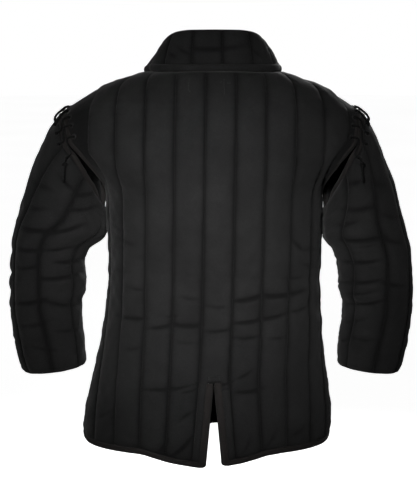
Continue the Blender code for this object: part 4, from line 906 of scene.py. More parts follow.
def canvas(name, dark, light, thread, rough, sheen):
    """Plain-woven cotton, dyed black: matt, with a faint bloom of loose fibre on what stands out.

    dark is the colour of the painted shade in the grooves and creases, and light the top of the cloth's
    uneven tone. thread is the distance between threads, drawn as coarse as it needs to show: real canvas has
    about 0.6 mm.
    """
    finish, tree, shader = matt_finish(name, rough, sheen, 0.45)
    shader.inputs["Sheen Tint"].default_value = (0.9, 0.9, 0.9, 1.0)
    place = add_node(tree, "ShaderNodeUVMap", settings=[("uv_map", "cloth")])
    spot = add_node(tree, "ShaderNodeTexCoord")
    hollow = add_node(tree, "ShaderNodeAttribute", settings=[("attribute_name", "hollow")])
    patches = add_node(tree, "ShaderNodeTexNoise", [("Vector", spot, "Object")],
                       Scale=16.0, Detail=5.0, Roughness=0.6)
    fibre = add_node(tree, "ShaderNodeTexNoise", [("Vector", spot, "Object")],
                     Scale=420.0, Detail=3.0, Roughness=0.7)
    mixed = add_node(tree, "ShaderNodeMath", [(0, patches, "Fac"), (1, fibre, "Fac")],
                     [("operation", "MULTIPLY_ADD")])
    mixed.inputs[2].default_value = 0.06
    # The cloth's uneven tone less the hollow attribute: painted shade that darkens the grooves of the
    # quilting and the creases
    tone_and_painted_shade = add_node(tree, "ShaderNodeMath", [(0, mixed, 0), (1, hollow, "Fac")], [("operation", "SUBTRACT")])
    colour_along(tree, shader, tone_and_painted_shade, 0, (0.0, paint(dark)), (0.45, paint(light)))
    heights = []
    for direction in ("X", "Y"):
        heights.append(add_node(tree, "ShaderNodeTexWave", [("Vector", place, "UV")],
                                [("bands_direction", direction), ("wave_profile", "SIN")],
                                Scale=1 / thread, Distortion=1.2, Detail=1.0, Detail_Scale=2.0))
    weave = add_node(tree, "ShaderNodeMath", [(0, heights[0], "Fac"), (1, heights[1], "Fac")],
                     [("operation", "MULTIPLY")])
    coarse = add_node(tree, "ShaderNodeBump", [("Height", patches, "Fac")], Strength=0.25, Distance=0.0012)
    fuzz = add_node(tree, "ShaderNodeBump", [("Height", fibre, "Fac"), ("Normal", coarse, "Normal")],
                    Strength=0.35, Distance=0.0003)
    bump = add_node(tree, "ShaderNodeBump", [("Height", weave, 0), ("Normal", fuzz, "Normal")],
                    Strength=0.35, Distance=0.00035)
    tree.links.new(bump.outputs["Normal"], shader.inputs["Normal"])
    return finish


def thread_finish(name, colour, rough, sheen):
    """Spun cotton thread or cord: matt, a little smoother than the cloth."""
    finish, tree, shader = matt_finish(name, rough, sheen, 0.4)
    spot = add_node(tree, "ShaderNodeTexCoord")
    fibre = add_node(tree, "ShaderNodeTexNoise", [("Vector", spot, "Object")], Scale=900.0, Detail=2.0)
    darker = (*(0.6 * part for part in colour[:3]), 1.0)
    colour_along(tree, shader, fibre, "Fac", (0.3, darker), (0.7, colour))
    bump = add_node(tree, "ShaderNodeBump", [("Height", fibre, "Fac")], Strength=0.3, Distance=0.0002)
    tree.links.new(bump.outputs["Normal"], shader.inputs["Normal"])
    return finish


# The cloth pieces

def front_piece(side, finish):
    """One front, its columns running from its front edge to the side."""
    columns = [Column("fixed", EDGE_WIDE + 2 * SEAM_GAP, 0.0)] + half_columns(PITCH / 2 + 0.002, 5, "front")
    name = side_name(side)
    seed = 31 if side > 0 else 47
    crest, full, normals, around, height, _ = panel_wall(
        columns, [side] * len(columns), "front", FRONT_HEM, FRONT_FOLDS)
    pressed = creased(np.abs(around), height + (0.004 if side > 0 else -0.006), FRONT_CREASES)
    wall = finished_wall(crest, full, normals, around, height, pressed, QUILT_DEPTH, CLOTH, seed)
    return wall, sew_wall("front_cloth_" + name, wall, finish, ["front_" + name])


def back_piece(finish):
    """The back, with its vent."""
    columns, sides = back_columns()
    crest, full, normals, around, height, left = panel_wall(columns, sides, "back", BACK_HEM, BACK_FOLDS)
    middle = len(columns) // 2
    strip = np.flatnonzero(left == middle - 1)
    first, last = strip[0], strip[-1] + 1
    vent_row = int(np.argmin(np.abs(height[:, first] - VENT_TOP)))
    centre = quilt_centre(height, "back")
    from_edge = np.abs(around - centre) - (PITCH / 2 - VENT_ROLL)
    narrow = 0.15 + 0.85 * fullness(0.06 + 0.94 * from_edge / VENT_ROLL)
    roll_full = np.where(from_edge < VENT_ROLL + 0.0002, narrow, full)
    below = np.clip((VENT_TOP + 0.010 - height) / 0.012, 0, 1)
    inside = np.abs(around - centre) < PITCH / 2
    edge_fade = at_edge(height - height[0], HEM_ROW)
    full = np.where(inside, full * (1 - below) + roll_full * edge_fade * below, full)
    across, down = in_photo(crest)
    pressed = creased(across, down, BACK_CREASES) * seen_from_camera(crest, normals)
    wall = finished_wall(crest, full, normals, around, height, pressed, QUILT_DEPTH, CLOTH, 7)
    cut = {(row, column) for row in range(vent_row) for column in range(first, last)}
    piece = sew_wall("back_cloth", wall, finish, ["back"], left_out=cut)
    return wall, piece, vent_row, first, last


def armhole_loop(back, front, side):
    """(middles, normals) of the armhole's bare edge: from the shoulder down behind, then up in front."""
    edge = -1 if side > 0 else 0
    points, normals = [], []
    for wall, column, downward in ((back, edge, True), (front, -1, False)):
        rows = np.flatnonzero(wall.along[:, column] >= ARMPIT - 1e-6)
        rows = rows[::-1] if downward else rows
        points.append(((wall.outer + wall.inner) / 2)[rows, column])
        normals.append(wall.normals[rows, column])
    points, normals = np.vstack(points), np.vstack(normals)
    kept = even_line(points, 0.0028, closed=True)
    return points[kept], normals[kept]


def head_points(turns, back_edge, front_edge, side):
    """Points on the bare edge of the sleeve's head. turns run from the shoulder round by the back."""
    turns = turns % (2 * math.pi)
    behind = turns <= math.pi
    share = np.where(behind, turns / math.pi, 2 - turns / math.pi)
    found = np.zeros((len(turns), 3))
    for line, chosen in ((back_edge, behind), (front_edge, ~behind)):
        length = np.linalg.norm(np.diff(line, axis=0), axis=1).sum()
        found[chosen] = spaced(line, share[chosen] * length)
    degrees = np.degrees(share * math.pi)
    nearer = np.where(behind, 0.0, HEAD_NEARER * np.exp(-((degrees - 142) / 36) ** 4))
    found[:, 0] += side * (column_of(HEAD_GAP, "out", degrees) - nearer)
    found[:, 2] -= column_of(HEAD_GAP, "down", degrees)
    return found


def tube_normals(crest):
    """Outward directions of a tube of points whose columns run round it."""
    across = np.roll(crest, -1, axis=1) - np.roll(crest, 1, axis=1)
    normals = unit(np.cross(across, np.gradient(crest, axis=0)))
    middles = crest.mean(axis=1, keepdims=True)
    return -normals if (normals * (crest - middles)).sum() < 0 else normals


def pressed_to_body(crest, side, down_from_head):
    """Swells the sleeve's inner side towards the body, where the two lie against each other."""
    x, y, height = crest[..., 0], crest[..., 1], crest[..., 2]
    level = np.clip(height, BODY[0].height, NECK)
    reach = column_of(BODY, "half_width", level)
    deep = np.where(y < 0, column_of(BODY, "back", level), column_of(BODY, "front", level))
    body = reach * (1 - np.clip(np.abs(y) / deep, 0, 1) ** ROUNDNESS) ** (1 / ROUNDNESS)
    gap = side * x + side * column_of(BODY, "sway", level) - body
    inner = np.clip((crest[..., 0].mean(axis=1, keepdims=True) - x) * side / 0.045, 0, 1) ** 1.5
    near = np.exp(-((height - TOUCH_HEIGHT) / TOUCH_REACH) ** 4)
    near *= np.exp(-((y - TOUCH_FORWARD) / TOUCH_REACH) ** 2)
    near *= np.clip(down_from_head / 0.008, 0, 1)[:, None]
    moved = crest.copy()
    seam = SIDE_SEAM_SUNK * np.exp(-(y / SIDE_SEAM_WIDE) ** 2)
    moved[..., 0] -= side * np.clip(gap + seam - TOUCH_CLEAR, 0, TOUCH_MOST) * inner * near
    return moved, inner * near


def rounded(value):
    """Turns a circle's sine or cosine into that of the sleeve's fuller section."""
    return np.sign(value) * np.abs(value) ** (2 / SLEEVE_ROUNDNESS)


def sleeve_piece(side, middles, finish):
    """One sleeve, its rows running from the head to the cuff."""
    low = int(np.argmin(middles[:, 2]))
    back_edge = middles[:low + 1]
    front_edge = np.vstack([middles[low:], middles[:1]])[::-1]
    more = 0 if side > 0 else 1
    knots = np.arange(len(SLEEVE))
    lengths = np.concatenate([[0], np.cumsum([
        math.hypot((b.out_x + b.in_x - a.out_x - a.in_x) / 2, (b.out_z + b.in_z - a.out_z - a.in_z) / 2)
        for a, b in zip(SLEEVE, SLEEVE[1:])])])
    rows = np.interp(np.linspace(0, lengths[-1], round(lengths[-1] / ROW_STEP)), lengths, knots)

    def along(name):
        return smooth_value(knots, [getattr(ring, name) for ring in SLEEVE], rows)

    out_x, in_x = along("out_x") + more * along("more_out"), along("in_x") + more * along("more_in")
    turned = along("turn_right") if side > 0 else along("turn_left")
    shares = []
    for line in range(SLEEVE_CHANNELS):
        shares += [line + CHANNEL_SIDE * t for t in FROM_LINE]
        shares += [line + CHANNEL_SIDE + (1 - 2 * CHANNEL_SIDE) * k / 8 for k in range(8)]
        shares += [line + 1 - CHANNEL_SIDE + CHANNEL_SIDE * t for t in TO_LINE]
    shares = np.array(shares)
    full_round = fullness(shares % 1.0)
    crest = np.zeros((len(rows), len(shares), 3))
    out = np.stack([side * out_x, along("forward"), along("out_z")], axis=1)
    inn = np.stack([side * in_x, along("forward"), along("in_z")], axis=1)
    centre = (out + inn) / 2
    head = along("head")
    deep = along("half_deep")
    for i in range(len(rows)):
        turn = math.radians(90 + turned[i]) + shares / SLEEVE_CHANNELS * 2 * math.pi
        point = centre[i] + (out[i] - centre[i]) * rounded(np.cos(turn))[:, None]
        point[:, 1] -= deep[i] * rounded(np.sin(turn))
        if head[i] > 0:
            at_head = head_points(turn, back_edge, front_edge, side) + centre[i] - centre[0]
            point = point * (1 - head[i]) + at_head * head[i]
        crest[i] = point
    if side < 0:
        crest, full_round = crest[:, ::-1], full_round[::-1]
        shares = SLEEVE_CHANNELS - shares[::-1]
    crest, touching = pressed_to_body(crest, side, down_from_head=np.arange(len(rows)) * ROW_STEP)
    normals = tube_normals(crest)
    down = lengths_along(centre)
    full = full_round[None, :] * (at_edge(down, 0.012) * at_edge(down[-1] - down, HEM_ROW * 0.6))[:, None]
    full += (1 - full) * touching * 0.85
    across = np.broadcast_to(shares / SLEEVE_CHANNELS * SLEEVE_GIRTH, full.shape).copy()
    downward = np.broadcast_to(down[:, None], full.shape).copy()
    column, row = in_photo(crest)
    seen = seen_from_camera(crest, normals)
    table = RIGHT_SLEEVE_CREASES if side > 0 else LEFT_SLEEVE_CREASES
    pressed = creased(column, row, table) * seen
    hidden = np.clip(1 - 2 * seen, 0, 1) * np.clip((down - 0.03) / 0.03, 0, 1)[:, None]
    turn_at = (across / SLEEVE_GIRTH * 2 * math.pi + math.radians(90)) % (2 * math.pi)
    pressed += creased((turn_at / (2 * math.pi)) * SLEEVE_GIRTH, downward, SLEEVE_CREASES) * hidden
    wall = finished_wall(crest, full, normals, across, downward, pressed, SLEEVE_QUILT, SLEEVE_CLOTH,
                         61 if side > 0 else 83)
    name = side_name(side)
    piece = sew_wall("sleeve_cloth_" + name, wall, finish, ["sleeve_" + name], round_it=True,
                     total=SLEEVE_GIRTH)
    from_first = shares if side > 0 else SLEEVE_CHANNELS - shares
    return wall, piece, (90 + turned[0] + from_first / SLEEVE_CHANNELS * 360) % 360


def main_neck(back, fronts):
    """The neck's edge as one line, smoothed over its columns."""
    lines, middles = [], []
    for wall, side in ((fronts[-1], -1), (back, 0), (fronts[1], 1)):
        corner = float(length_round(NECK, "front" if side else "back"))
        kept = np.abs(wall.across[-1]) < corner
        row, middle = wall.outer[-1][kept], ((wall.outer[-1] + wall.inner[-1]) / 2)[kept]
        order = np.argsort(row[:, 1] * side if side else row[:, 0])
        lines.append(row[order])
        middles.append(middle[order])
    points, middles = np.vstack(lines), np.vstack(middles)
    apart = even_line(points, 0.0035)
    points, middles = points[apart], middles[apart]
    along = np.gradient(points, axis=0)
    outward = np.stack([along[:, 1], -along[:, 0], np.zeros(len(points))], axis=1)
    outward = unit(outward)
    if (outward * points).sum() < 0:
        outward = -outward
    for _ in range(6):
        outward[1:-1] = unit((outward[:-2] + outward[1:-1] * 2 + outward[2:]) / 4)
    return points, middles, outward


def collar_tops(base):
    """The collar's top edge above points of its base, in the same direction from the middle of the neck."""
    turn = np.degrees(np.arctan2(np.abs(base[:, 0]), -base[:, 1]))
    return np.stack([
        np.sign(base[:, 0]) * column_of(COLLAR_TOP, "wide", turn),
        column_of(COLLAR_TOP, "deep", turn),
        column_of(COLLAR_TOP, "height", turn),
    ], axis=1)


def collar_pieces(edge, middles, outward, welt_finish, finish):
    """The padded welt on the neck's edge and the standing collar on it."""
    sits = middles.copy()
    sits[:, 2] = edge[:, 2] - WELT_SETTLES * np.linalg.norm((edge - middles)[:, :2], axis=1)
    slope = np.abs(np.gradient(edge[:, 2])) / np.linalg.norm(np.gradient(edge[:, :2], axis=0), axis=1)
    sits[:, 2] += SEAM_GAP * np.sqrt(1 + slope ** 2) * 1.2
    up = np.tile([0.0, 0.0, WELT_TALL], (len(sits), 1))
    welt = roll("neck_welt_roll", sits, outward, up, WELT_THICK, welt_finish, ["neck_welt"],
                sides=20, seed=5, pucker=0.05, laps=False)

    lengths = lengths_along(sits)
    behind = sits[:, 1] < 0
    back_middle = float(np.interp(0.0, sits[behind, 0], lengths[behind]))
    first = back_middle + COLLAR_LINE
    first -= int(first / PITCH) * PITCH
    lines = [line for line in np.arange(first, lengths[-1] - COLLAR_END, PITCH) if line > COLLAR_END]
    lines = [0.0] + lines + [lengths[-1]]
    places, full = [], []
    for start, stop in zip(lines, lines[1:]):
        shares = [CHANNEL_SIDE * t for t in FROM_LINE]
        shares += [CHANNEL_SIDE + (1 - 2 * CHANNEL_SIDE) * k / 7 for k in range(7)]
        shares += [1 - CHANNEL_SIDE + CHANNEL_SIDE * t for t in TO_LINE]
        places += [start + (stop - start) * share for share in shares]
        full += list(fullness(np.array(shares)))
    places, full = np.array(places + [lengths[-1]]), np.array(full + [0.0])
    base = spaced(sits, places)
    base[:, 2] += WELT_TALL - COLLAR_SINKS
    facing = unit(np.stack([np.interp(places, lengths, outward[:, axis]) for axis in range(3)], axis=1))
    top = collar_tops(base)
    rows = np.linspace(0, 1, 30)
    crest = np.zeros((len(rows), len(places), 3))
    for i, share in enumerate(rows):
        out = COLLAR_THICK / 2 + COLLAR_BULGE * math.sin(math.pi * share)
        crest[i] = base + (top - base) * share + facing * out
    tall = np.linalg.norm(top - base, axis=1).mean()
    by_row = at_edge(rows * tall, 0.010) * (0.3 + 0.7 * at_edge((1 - rows) * tall, 0.010))
    raised = full[None, :] * by_row[:, None]
    normals = np.broadcast_to(facing, crest.shape)
    across = np.broadcast_to(places, raised.shape).copy()
    along = np.broadcast_to((rows * tall)[:, None], raised.shape).copy()
    column, row = in_photo(crest)
    pressed = creased(column, row, COLLAR_CREASES) * seen_from_camera(crest, normals)
    wall = finished_wall(crest, raised, normals, across, along, pressed, COLLAR_QUILT, COLLAR_THICK, 19)
    inner = base[None] + (top - base)[None] * rows[:, None, None] - facing[None] * (COLLAR_THICK / 2)
    rim = np.clip((rows - 0.93) / 0.07, 0, 1)[:, None, None] ** 2
    middle = (wall.outer + inner) / 2
    outer = wall.outer * (1 - 0.45 * rim) + middle * 0.45 * rim
    inner = inner * (1 - 0.45 * rim) + middle * 0.45 * rim
    wall = wall._replace(outer=outer, inner=inner)
    piece = sew_wall("collar_cloth", wall, finish, ["collar"])
    return wall, piece


def hem_roll(side, back, front, vent_row, first, last, finish):
    """From the top of the vent down its edge, round the corner and along the hem to the front edge."""
    column = last if side > 0 else first
    toward = np.array([-side, 0.0, 0.0])
    down = np.array([0.0, 0.0, -1.0])
    middles, normals, reaches = [], [], []

    def station(wall, row, col, reach):
        middles.append((wall.outer[row, col] + wall.inner[row, col]) / 2)
        normal = wall.normals[row, col]
        normals.append(unit(normal - reach * (normal @ reach) / (reach @ reach)))
        reaches.append(reach)

    for row in range(vent_row, 0, -1):
        station(back, row, column, toward * VENT_WIDE * (0.9 if row > vent_row - 2 else 1.0))
    middles[0] = middles[0] - np.array([0, 0, SEAM_GAP * 2])
    for bend in np.linspace(0, math.pi / 2, 7)[1:-1]:
        reach = toward * VENT_WIDE * math.cos(bend) ** 0.6 + down * HEM_WIDE * math.sin(bend) ** 0.6
        station(back, 0, column, reach)
    columns = range(column, back.outer.shape[1]) if side > 0 else range(column, -1, -1)
    for col in columns:
        station(back, 0, col, down * HEM_WIDE)
    for col in range(front.outer.shape[1] - 2, -1, -1):
        station(front, 0, col, down * HEM_WIDE)
    middles, normals, reaches = np.array(middles), np.array(normals), np.array(reaches)
    corner = len(range(vent_row, 0, -1))
    kept = even_line(middles[:corner], 0.0025) + list(range(corner, corner + 6))
    rest = even_line(middles[corner + 6:], 0.0032)
    kept += [corner + 6 + i for i in rest]
    name = side_name(side)
    return roll("hem_roll_" + name, middles[kept], normals[kept], reaches[kept], HEM_THICK, finish,
                ["hem_binding_" + name], seed=11 + side)


def front_roll(side, front, finish):
    """Along a front's edge, from below the hem's binding to the neck."""
    middles = (front.outer[:, 0] + front.inner[:, 0]) / 2
    normals = front.normals[:, 0].copy()
    middles = np.vstack([middles[0] - [0, 0, HEM_WIDE + SEAM_GAP], middles])
    normals = np.vstack([normals[0], normals])
    normals[:, 0] = 0.0
    normals = unit(normals)
    reaches = np.tile([-side * EDGE_WIDE, 0.0, 0.0], (len(middles), 1))
    name = side_name(side)
    return roll("front_edge_roll_" + name, middles, normals, reaches, EDGE_THICK, finish,
                ["front_edge_binding_" + name], seed=21 + side)


Strip = namedtuple("Strip", "outer inner away")
Seat = namedtuple("Seat", "piece outer inner edge_outer edge_inner away normal")


def faces_of(piece):
    """A tree of a piece's faces, to find its cloth with."""
    return BVHTree.FromPolygons([corner.co for corner in piece.data.vertices],
                                [face.vertices[:] for face in piece.data.polygons])


def seat_of(piece, faces, strip, along, inward):
    """Where an eyelet sits: so far along a strip's edge and so far in from it, on the cloth's own faces."""
    middles = (strip.outer + strip.inner) / 2
    lengths = lengths_along(middles)
    edge_outer, edge_inner, away = (
        np.array([np.interp(along, lengths, rows[:, axis]) for axis in range(3)]) for rows in strip
    )
    normal = unit(edge_outer - edge_inner)
    away = unit(away - normal * (away @ normal))
    start = Vector((edge_outer + edge_inner) / 2 - away * inward)
    outer = faces.ray_cast(start + Vector(normal) * 0.02, -Vector(normal))[0]
    inner = faces.ray_cast(start - Vector(normal) * 0.02, Vector(normal))[0]
    return Seat(piece, np.array(outer), np.array(inner), edge_outer, edge_inner, away, normal)


def armhole_strip(wall, edge, away, middles):
    """The strip along a panel's armhole edge, from the shoulder down."""
    rows = np.flatnonzero(wall.along[:, edge] >= ARMPIT - 1e-6)[::-1]
    bare = (wall.outer[rows, edge] + wall.inner[rows, edge]) / 2
    nearest = [int(np.argmin(np.linalg.norm(middles - point, axis=1))) for point in bare]
    return Strip(wall.outer[rows, edge], wall.inner[rows, edge], away[nearest])


def head_strip(wall, turns, away, behind):
    """The strip along a sleeve's head, from the shoulder down behind or in front."""
    order = np.argsort(turns)
    ring = np.concatenate([turns[order] - 360, turns[order], turns[order] + 360])
    wanted = np.arange(0, 175, 3.0)
    if not behind:
        wanted = 360 - wanted

    def ringed(rows):
        rows = np.concatenate([rows[order]] * 3)
        return np.stack([np.interp(wanted, ring, rows[:, axis]) for axis in range(3)], axis=1)

    return Strip(ringed(wall.outer[0]), ringed(wall.inner[0]), ringed(away))


def cut_eyelets(panel, seats):
    """Cuts a round hole through a piece of cloth at each seat."""
    pattern = bmesh.new()
    for seat in seats:
        turned = Vector(seat.normal).to_track_quat("Z", "Y").to_matrix().to_4x4()
        middle = Matrix.Translation(Vector((seat.outer + seat.inner) / 2))
        bmesh.ops.create_cone(pattern, cap_ends=True, segments=18, radius1=HOLE_RADIUS, radius2=HOLE_RADIUS,
                              depth=CLOTH * 3, matrix=middle @ turned)
    cutter = object_of("eyelet_cutter", pattern)
    cut = panel.modifiers.new("eyelets", "BOOLEAN")
    cut.operation = "DIFFERENCE"
    cut.solver = "FAST"
    cut.object = cutter
    shaped = panel.evaluated_get(bpy.context.evaluated_depsgraph_get())
    made = bpy.data.meshes.new_from_object(shaped)
    panel.modifiers.clear()
    panel.data = made
    bpy.data.objects.remove(cutter, do_unlink=True)


def lace_path(stitches, lift):
    """Points of a cord that crosses outside from each pair's first seat to its second, and goes on inside."""
    path = []
    over = EDGE_WIDE / 2 + SEAM_GAP
    for i, (first, second) in enumerate(stitches):
        if i and stitches[i - 1][1].piece != first.piece:
            for seat in (stitches[i - 1][1], first):
                path.append(seat.edge_inner + seat.away * over - seat.normal * LACE_OVER_BINDING)
        path.append(first.inner - first.normal * lift)
        path.append(first.outer + first.normal * lift)
        for seat in (first, second):
            path.append(seat.edge_outer + seat.away * over + seat.normal * LACE_OVER_BINDING)
        path.append(second.outer + second.normal * lift)
        if i < len(stitches) - 1:
            path.append(second.inner - second.normal * lift)
    return path


def downward(seat):
    """The direction down along the cloth at a seat."""
    down = np.array([0.0, 0.0, -1.0])
    return unit(down - seat.normal * (down @ seat.normal))


def lace_up(name, node, stitches, finish, lift, knot_lift, end):
    """Makes one cord through all the stitches, from its stopper knot to its free end outside, with its knots.
    """
    first, last = stitches[0][0], stitches[-1][1]
    path = [first.inner - first.normal * (bend.lift + knot_lift) for bend in STOPPER]
    path += lace_path(stitches, lift)[1:]
    outside = last.outer + last.normal * lift
    for bend in end:
        path.append(outside + downward(last) * bend.down + last.normal * bend.lift)
    knots = [knot_piece(name + "_stopper", (path[1] + path[2]) / 2, first.normal, finish)]
    if len(end) > 3:
        middle = outside + downward(last) * (end[1].down + end[2].down) / 2 + last.normal * end[1].lift
        knots.append(knot_piece(name + "_knot", middle, downward(last), finish))
    lace, line, length = cord_piece(name, node, np.array(path), finish)


CORD_STEP = 0.0014
CORD_SIDES = 12
CORD_LAY = 0.0075       # length of one turn of the twist
STRANDS = 3
STRAND_PROUD = 0.12     # how far a strand stands out, as a share of the cord's radius
KNOT_WIDE = 0.0019
KNOT_TIGHT = 0.72       # how far the knot is drawn together
KNOT_CORD = 0.00155     # the cord's radius where it is squeezed in the knot


def rounded_path(points):
    """A smooth close-set line through points."""
    fine = []
    for i in range(len(points) - 1):
        start, stop = points[i], points[i + 1]
        before, after = points[max(i - 1, 0)], points[min(i + 2, len(points) - 1)]
        span = np.linalg.norm(stop - start)
        lean_in = (stop - before) / max(np.linalg.norm(stop - before), 1e-6) * span * 0.8
        lean_out = (after - start) / max(np.linalg.norm(after - start), 1e-6) * span * 0.8
        count = max(2, round(span / CORD_STEP))
        for k in range(count):
            t = k / count
            fine.append(start * (1 + 2 * t) * (1 - t) ** 2 + lean_in * t * (1 - t) ** 2
                        + stop * t * t * (3 - 2 * t) + lean_out * t * t * (t - 1))
    return np.array(fine + [points[-1]])


def twisted_tube(line, radius):
    """A closed tube of three strands twisted together, along a line."""
    lengths = lengths_along(line)
    pattern, places = tube_pattern(len(line), CORD_SIDES)
    aims = unit(np.gradient(line, axis=0))
    side = Vector(aims[0]).orthogonal().normalized()
    frames = []
    for aim in (Vector(row) for row in aims):
        side = (side - aim * side.dot(aim)).normalized()
        frames.append((np.array(side), np.array(aim.cross(side))))
    for corner, (row, column) in places.items():
        turn = 2 * math.pi * column / CORD_SIDES
        lobe = 1 + STRAND_PROUD * math.cos(STRANDS * (turn - 2 * math.pi * lengths[row] / CORD_LAY / STRANDS))
        across, over = frames[row]
        corner.co = Vector(line[row] + (across * math.cos(turn) + over * math.sin(turn)) * radius * lobe)
    bmesh.ops.holes_fill(pattern, edges=[edge for edge in pattern.edges if edge.is_boundary], sides=0)
    return pattern, float(lengths[-1])


def cord_piece(name, node, points, finish):
    """A cord of three strands twisted together, along a line of points."""
    line = rounded_path(points)
    pattern, length = twisted_tube(line, LACE_RADIUS)
    return add_piece(name, pattern, finish, [node]), line, length


def knot_piece(name, middle, aim, finish):
    """An overhand knot drawn tight round the cord, its turns crossing over each other."""
    turn = np.linspace(0, 2 * math.pi, 65)
    out = 2.0 + np.cos(3 * turn)
    trefoil = np.stack([out * np.cos(2 * turn), out * np.sin(2 * turn), 1.3 * np.sin(3 * turn)], axis=1)
    trefoil = trefoil * KNOT_WIDE * KNOT_TIGHT
    aim = Vector(aim).normalized()
    side = aim.orthogonal().normalized()
    line = middle + trefoil @ np.array([side, aim.cross(side), aim])
    pattern, _ = twisted_tube(line[:-1], KNOT_CORD)
    return add_piece(name, pattern, finish)


# Stitching

def sewn_together(runs):
    """All the runs of stitches as one pattern."""
    whole = bmesh.new()
    for run in runs:
        mesh = bpy.data.meshes.new("run")
        run.to_mesh(mesh)
        run.free()
        whole.from_mesh(mesh)
        bpy.data.meshes.remove(mesh)
    return whole


def add_stitch(sewing, middle, aim, normal, length, thick):
    """One stitch: a short rounded run of thread that lies on the cloth."""
    aim = Vector(aim).normalized()
    normal = Vector(normal)
    normal = (normal - aim * normal.dot(aim)).normalized()
    turned = Matrix((aim, normal.cross(aim), normal)).transposed().to_4x4()
    sized = Matrix.Diagonal((length / 2, thick / 2, thick / 2, 1.0))
    placed = Matrix.Translation(Vector(middle)) @ turned @ sized
    bmesh.ops.create_icosphere(sewing, subdivisions=1, radius=1.0, matrix=placed)


def run_of_stitches(sewing, points, normals, step=0.0046, length=0.0034, thick=0.0008, lift=0.0002):
    """A line of stitches along points on the cloth."""
    lengths = lengths_along(points)
    count = int(lengths[-1] / step)
    if not count:
        return
    middles = (np.arange(count) + 0.5) * lengths[-1] / count
    places = spaced(points, middles)
    facing = np.stack([np.interp(middles, lengths, normals[:, axis]) for axis in range(3)], axis=1)
    ahead = spaced(points, np.minimum(middles + step / 3, lengths[-1]))
    aims = ahead - spaced(points, np.maximum(middles - step / 3, 0))
    run = bmesh.new()
    for place, aim, normal in zip(places, aims, unit(facing)):
        if np.linalg.norm(aim) > 1e-6:
            add_stitch(run, place + normal * lift, aim, normal, length, thick)
    sewing.append(run)


def eyelet_stitches(sewing, seat):
    """Buttonhole stitches round an eyelet."""
    side = unit(np.cross(seat.normal, [0.3, 0.2, 0.9]))
    over = np.cross(seat.normal, side)
    count = 18
    run = bmesh.new()
    for i in range(count):
        turn = 2 * math.pi * i / count
        ray = side * math.cos(turn) + over * math.sin(turn)
        add_stitch(run, seat.outer + ray * (HOLE_RADIUS + 0.0008) + seat.normal * 0.0002, ray, seat.normal,
                   0.0030, 0.0013)
    sewing.append(run)


def on_cloth(faces, column, row):
    """The point of a piece of cloth that shows at a pixel of the photograph, and its outward direction."""
    ahead = Vector((column - PHOTO_WIDE / 2, 0, 0)) + Vector((0, 0, 1)) * (PHOTO_TALL / 2 - row)
    up = Vector((0, math.sin(CAMERA_TILT), math.cos(CAMERA_TILT)))
    forward = Vector((0, math.cos(CAMERA_TILT), -math.sin(CAMERA_TILT)))
    aim = (forward * FOCAL + Vector((1, 0, 0)) * ahead.x + up * ahead.z).normalized()
    hit, normal, _, _ = faces.ray_cast(Vector((CAMERA_ACROSS, -CAMERA_AWAY, CAMERA_HEIGHT)), aim)
    return np.array(hit), np.array(normal)


# The bare stitched outline where a label was, in pixels of the photograph
LABEL_RUNS = (
    ((189.5, 78), (188.5, 84), (188.5, 91)),
    ((188.5, 91), (191.5, 91.5)),
    ((224, 79), (224, 87), (224.5, 95)),
    ((219.5, 82), (222.5, 82)),
    ((226.5, 83), (231, 83)),
)


IN_THE_LINE = 0.79      # a wall is more hollow than that along its lines of quilting


def quilting_stitches(sewing, wall):
    """Stitches down each line of quilting of a wall, on its outer face."""
    rows, columns = wall.outer.shape[:2]
    depth = ((wall.outer - wall.inner) * wall.normals).sum(axis=-1)
    middle = rows // 2
    for column in range(1, columns - 1):
        lowest = depth[middle, column - 1] >= depth[middle, column] < depth[middle, column + 1]
        if lowest and wall.hollow[middle, column] > IN_THE_LINE:
            run_of_stitches(sewing, wall.outer[2:-2, column], wall.normals[2:-2, column], lift=0.0001)


# The studio

def set_camera():
    """The photograph's camera: behind the back, a little above the shoulders and turned down."""
    camera = bpy.data.objects.new("camera", bpy.data.cameras.new("camera"))
    bpy.context.scene.collection.objects.link(camera)
    camera.data.sensor_fit = "VERTICAL"
    camera.data.sensor_height = 36.0
    camera.data.lens = 36.0 * FOCAL / PHOTO_TALL
    camera.data.clip_end = 200.0
    camera.location = (CAMERA_ACROSS, -CAMERA_AWAY, CAMERA_HEIGHT)
    camera.rotation_euler = (math.pi / 2 - CAMERA_TILT, 0.0, 0.0)
    bpy.context.scene.camera = camera


Lamp = namedtuple("Lamp", "name place aim size power spread")
LAMPS = (
    Lamp("key", (-0.25, -2.1, 0.30), (-0.03, -0.15, -0.33), 0.5, 2.25, 27),
    Lamp("fill", (1.9, -2.4, 1.1), (0, 0, -0.35), 1.4, 0.25, 120),
    Lamp("edge", (-2.1, -0.5, 1.2), (0, 0, -0.30), 1.0, 0.5, 120),
    Lamp("front", (0.9, 3.0, 0.6), (0, 0, -0.35), 1.8, 55.0, 150),
)
FLOOR_HEIGHT = -1.45
FLOOR_RADIUS = 40.0
HAZE = 0.007            # the surround's faint light on the cloth; the camera itself sees it white


def add_light(name, place, aim, size, power, spread):
    """A round soft lamp, its spread in degrees."""
    light = bpy.data.lights.new(name, "AREA")
    light.shape = "DISK"
    light.size = size
    light.energy = power
    light.spread = math.radians(spread)
    lamp = bpy.data.objects.new(name, light)
    bpy.context.scene.collection.objects.link(lamp)
    lamp.location = place
    lamp.rotation_euler = (Vector(aim) - Vector(place)).to_track_quat("-Z", "Y").to_euler()


def stage_piece(name, pattern, finish):
    """A part of the studio that only the camera sees, so that it throws no light on the cloth."""
    made = object_of(name, pattern, finish)
    made.visible_diffuse = False
    made.visible_glossy = False
    made.visible_shadow = False


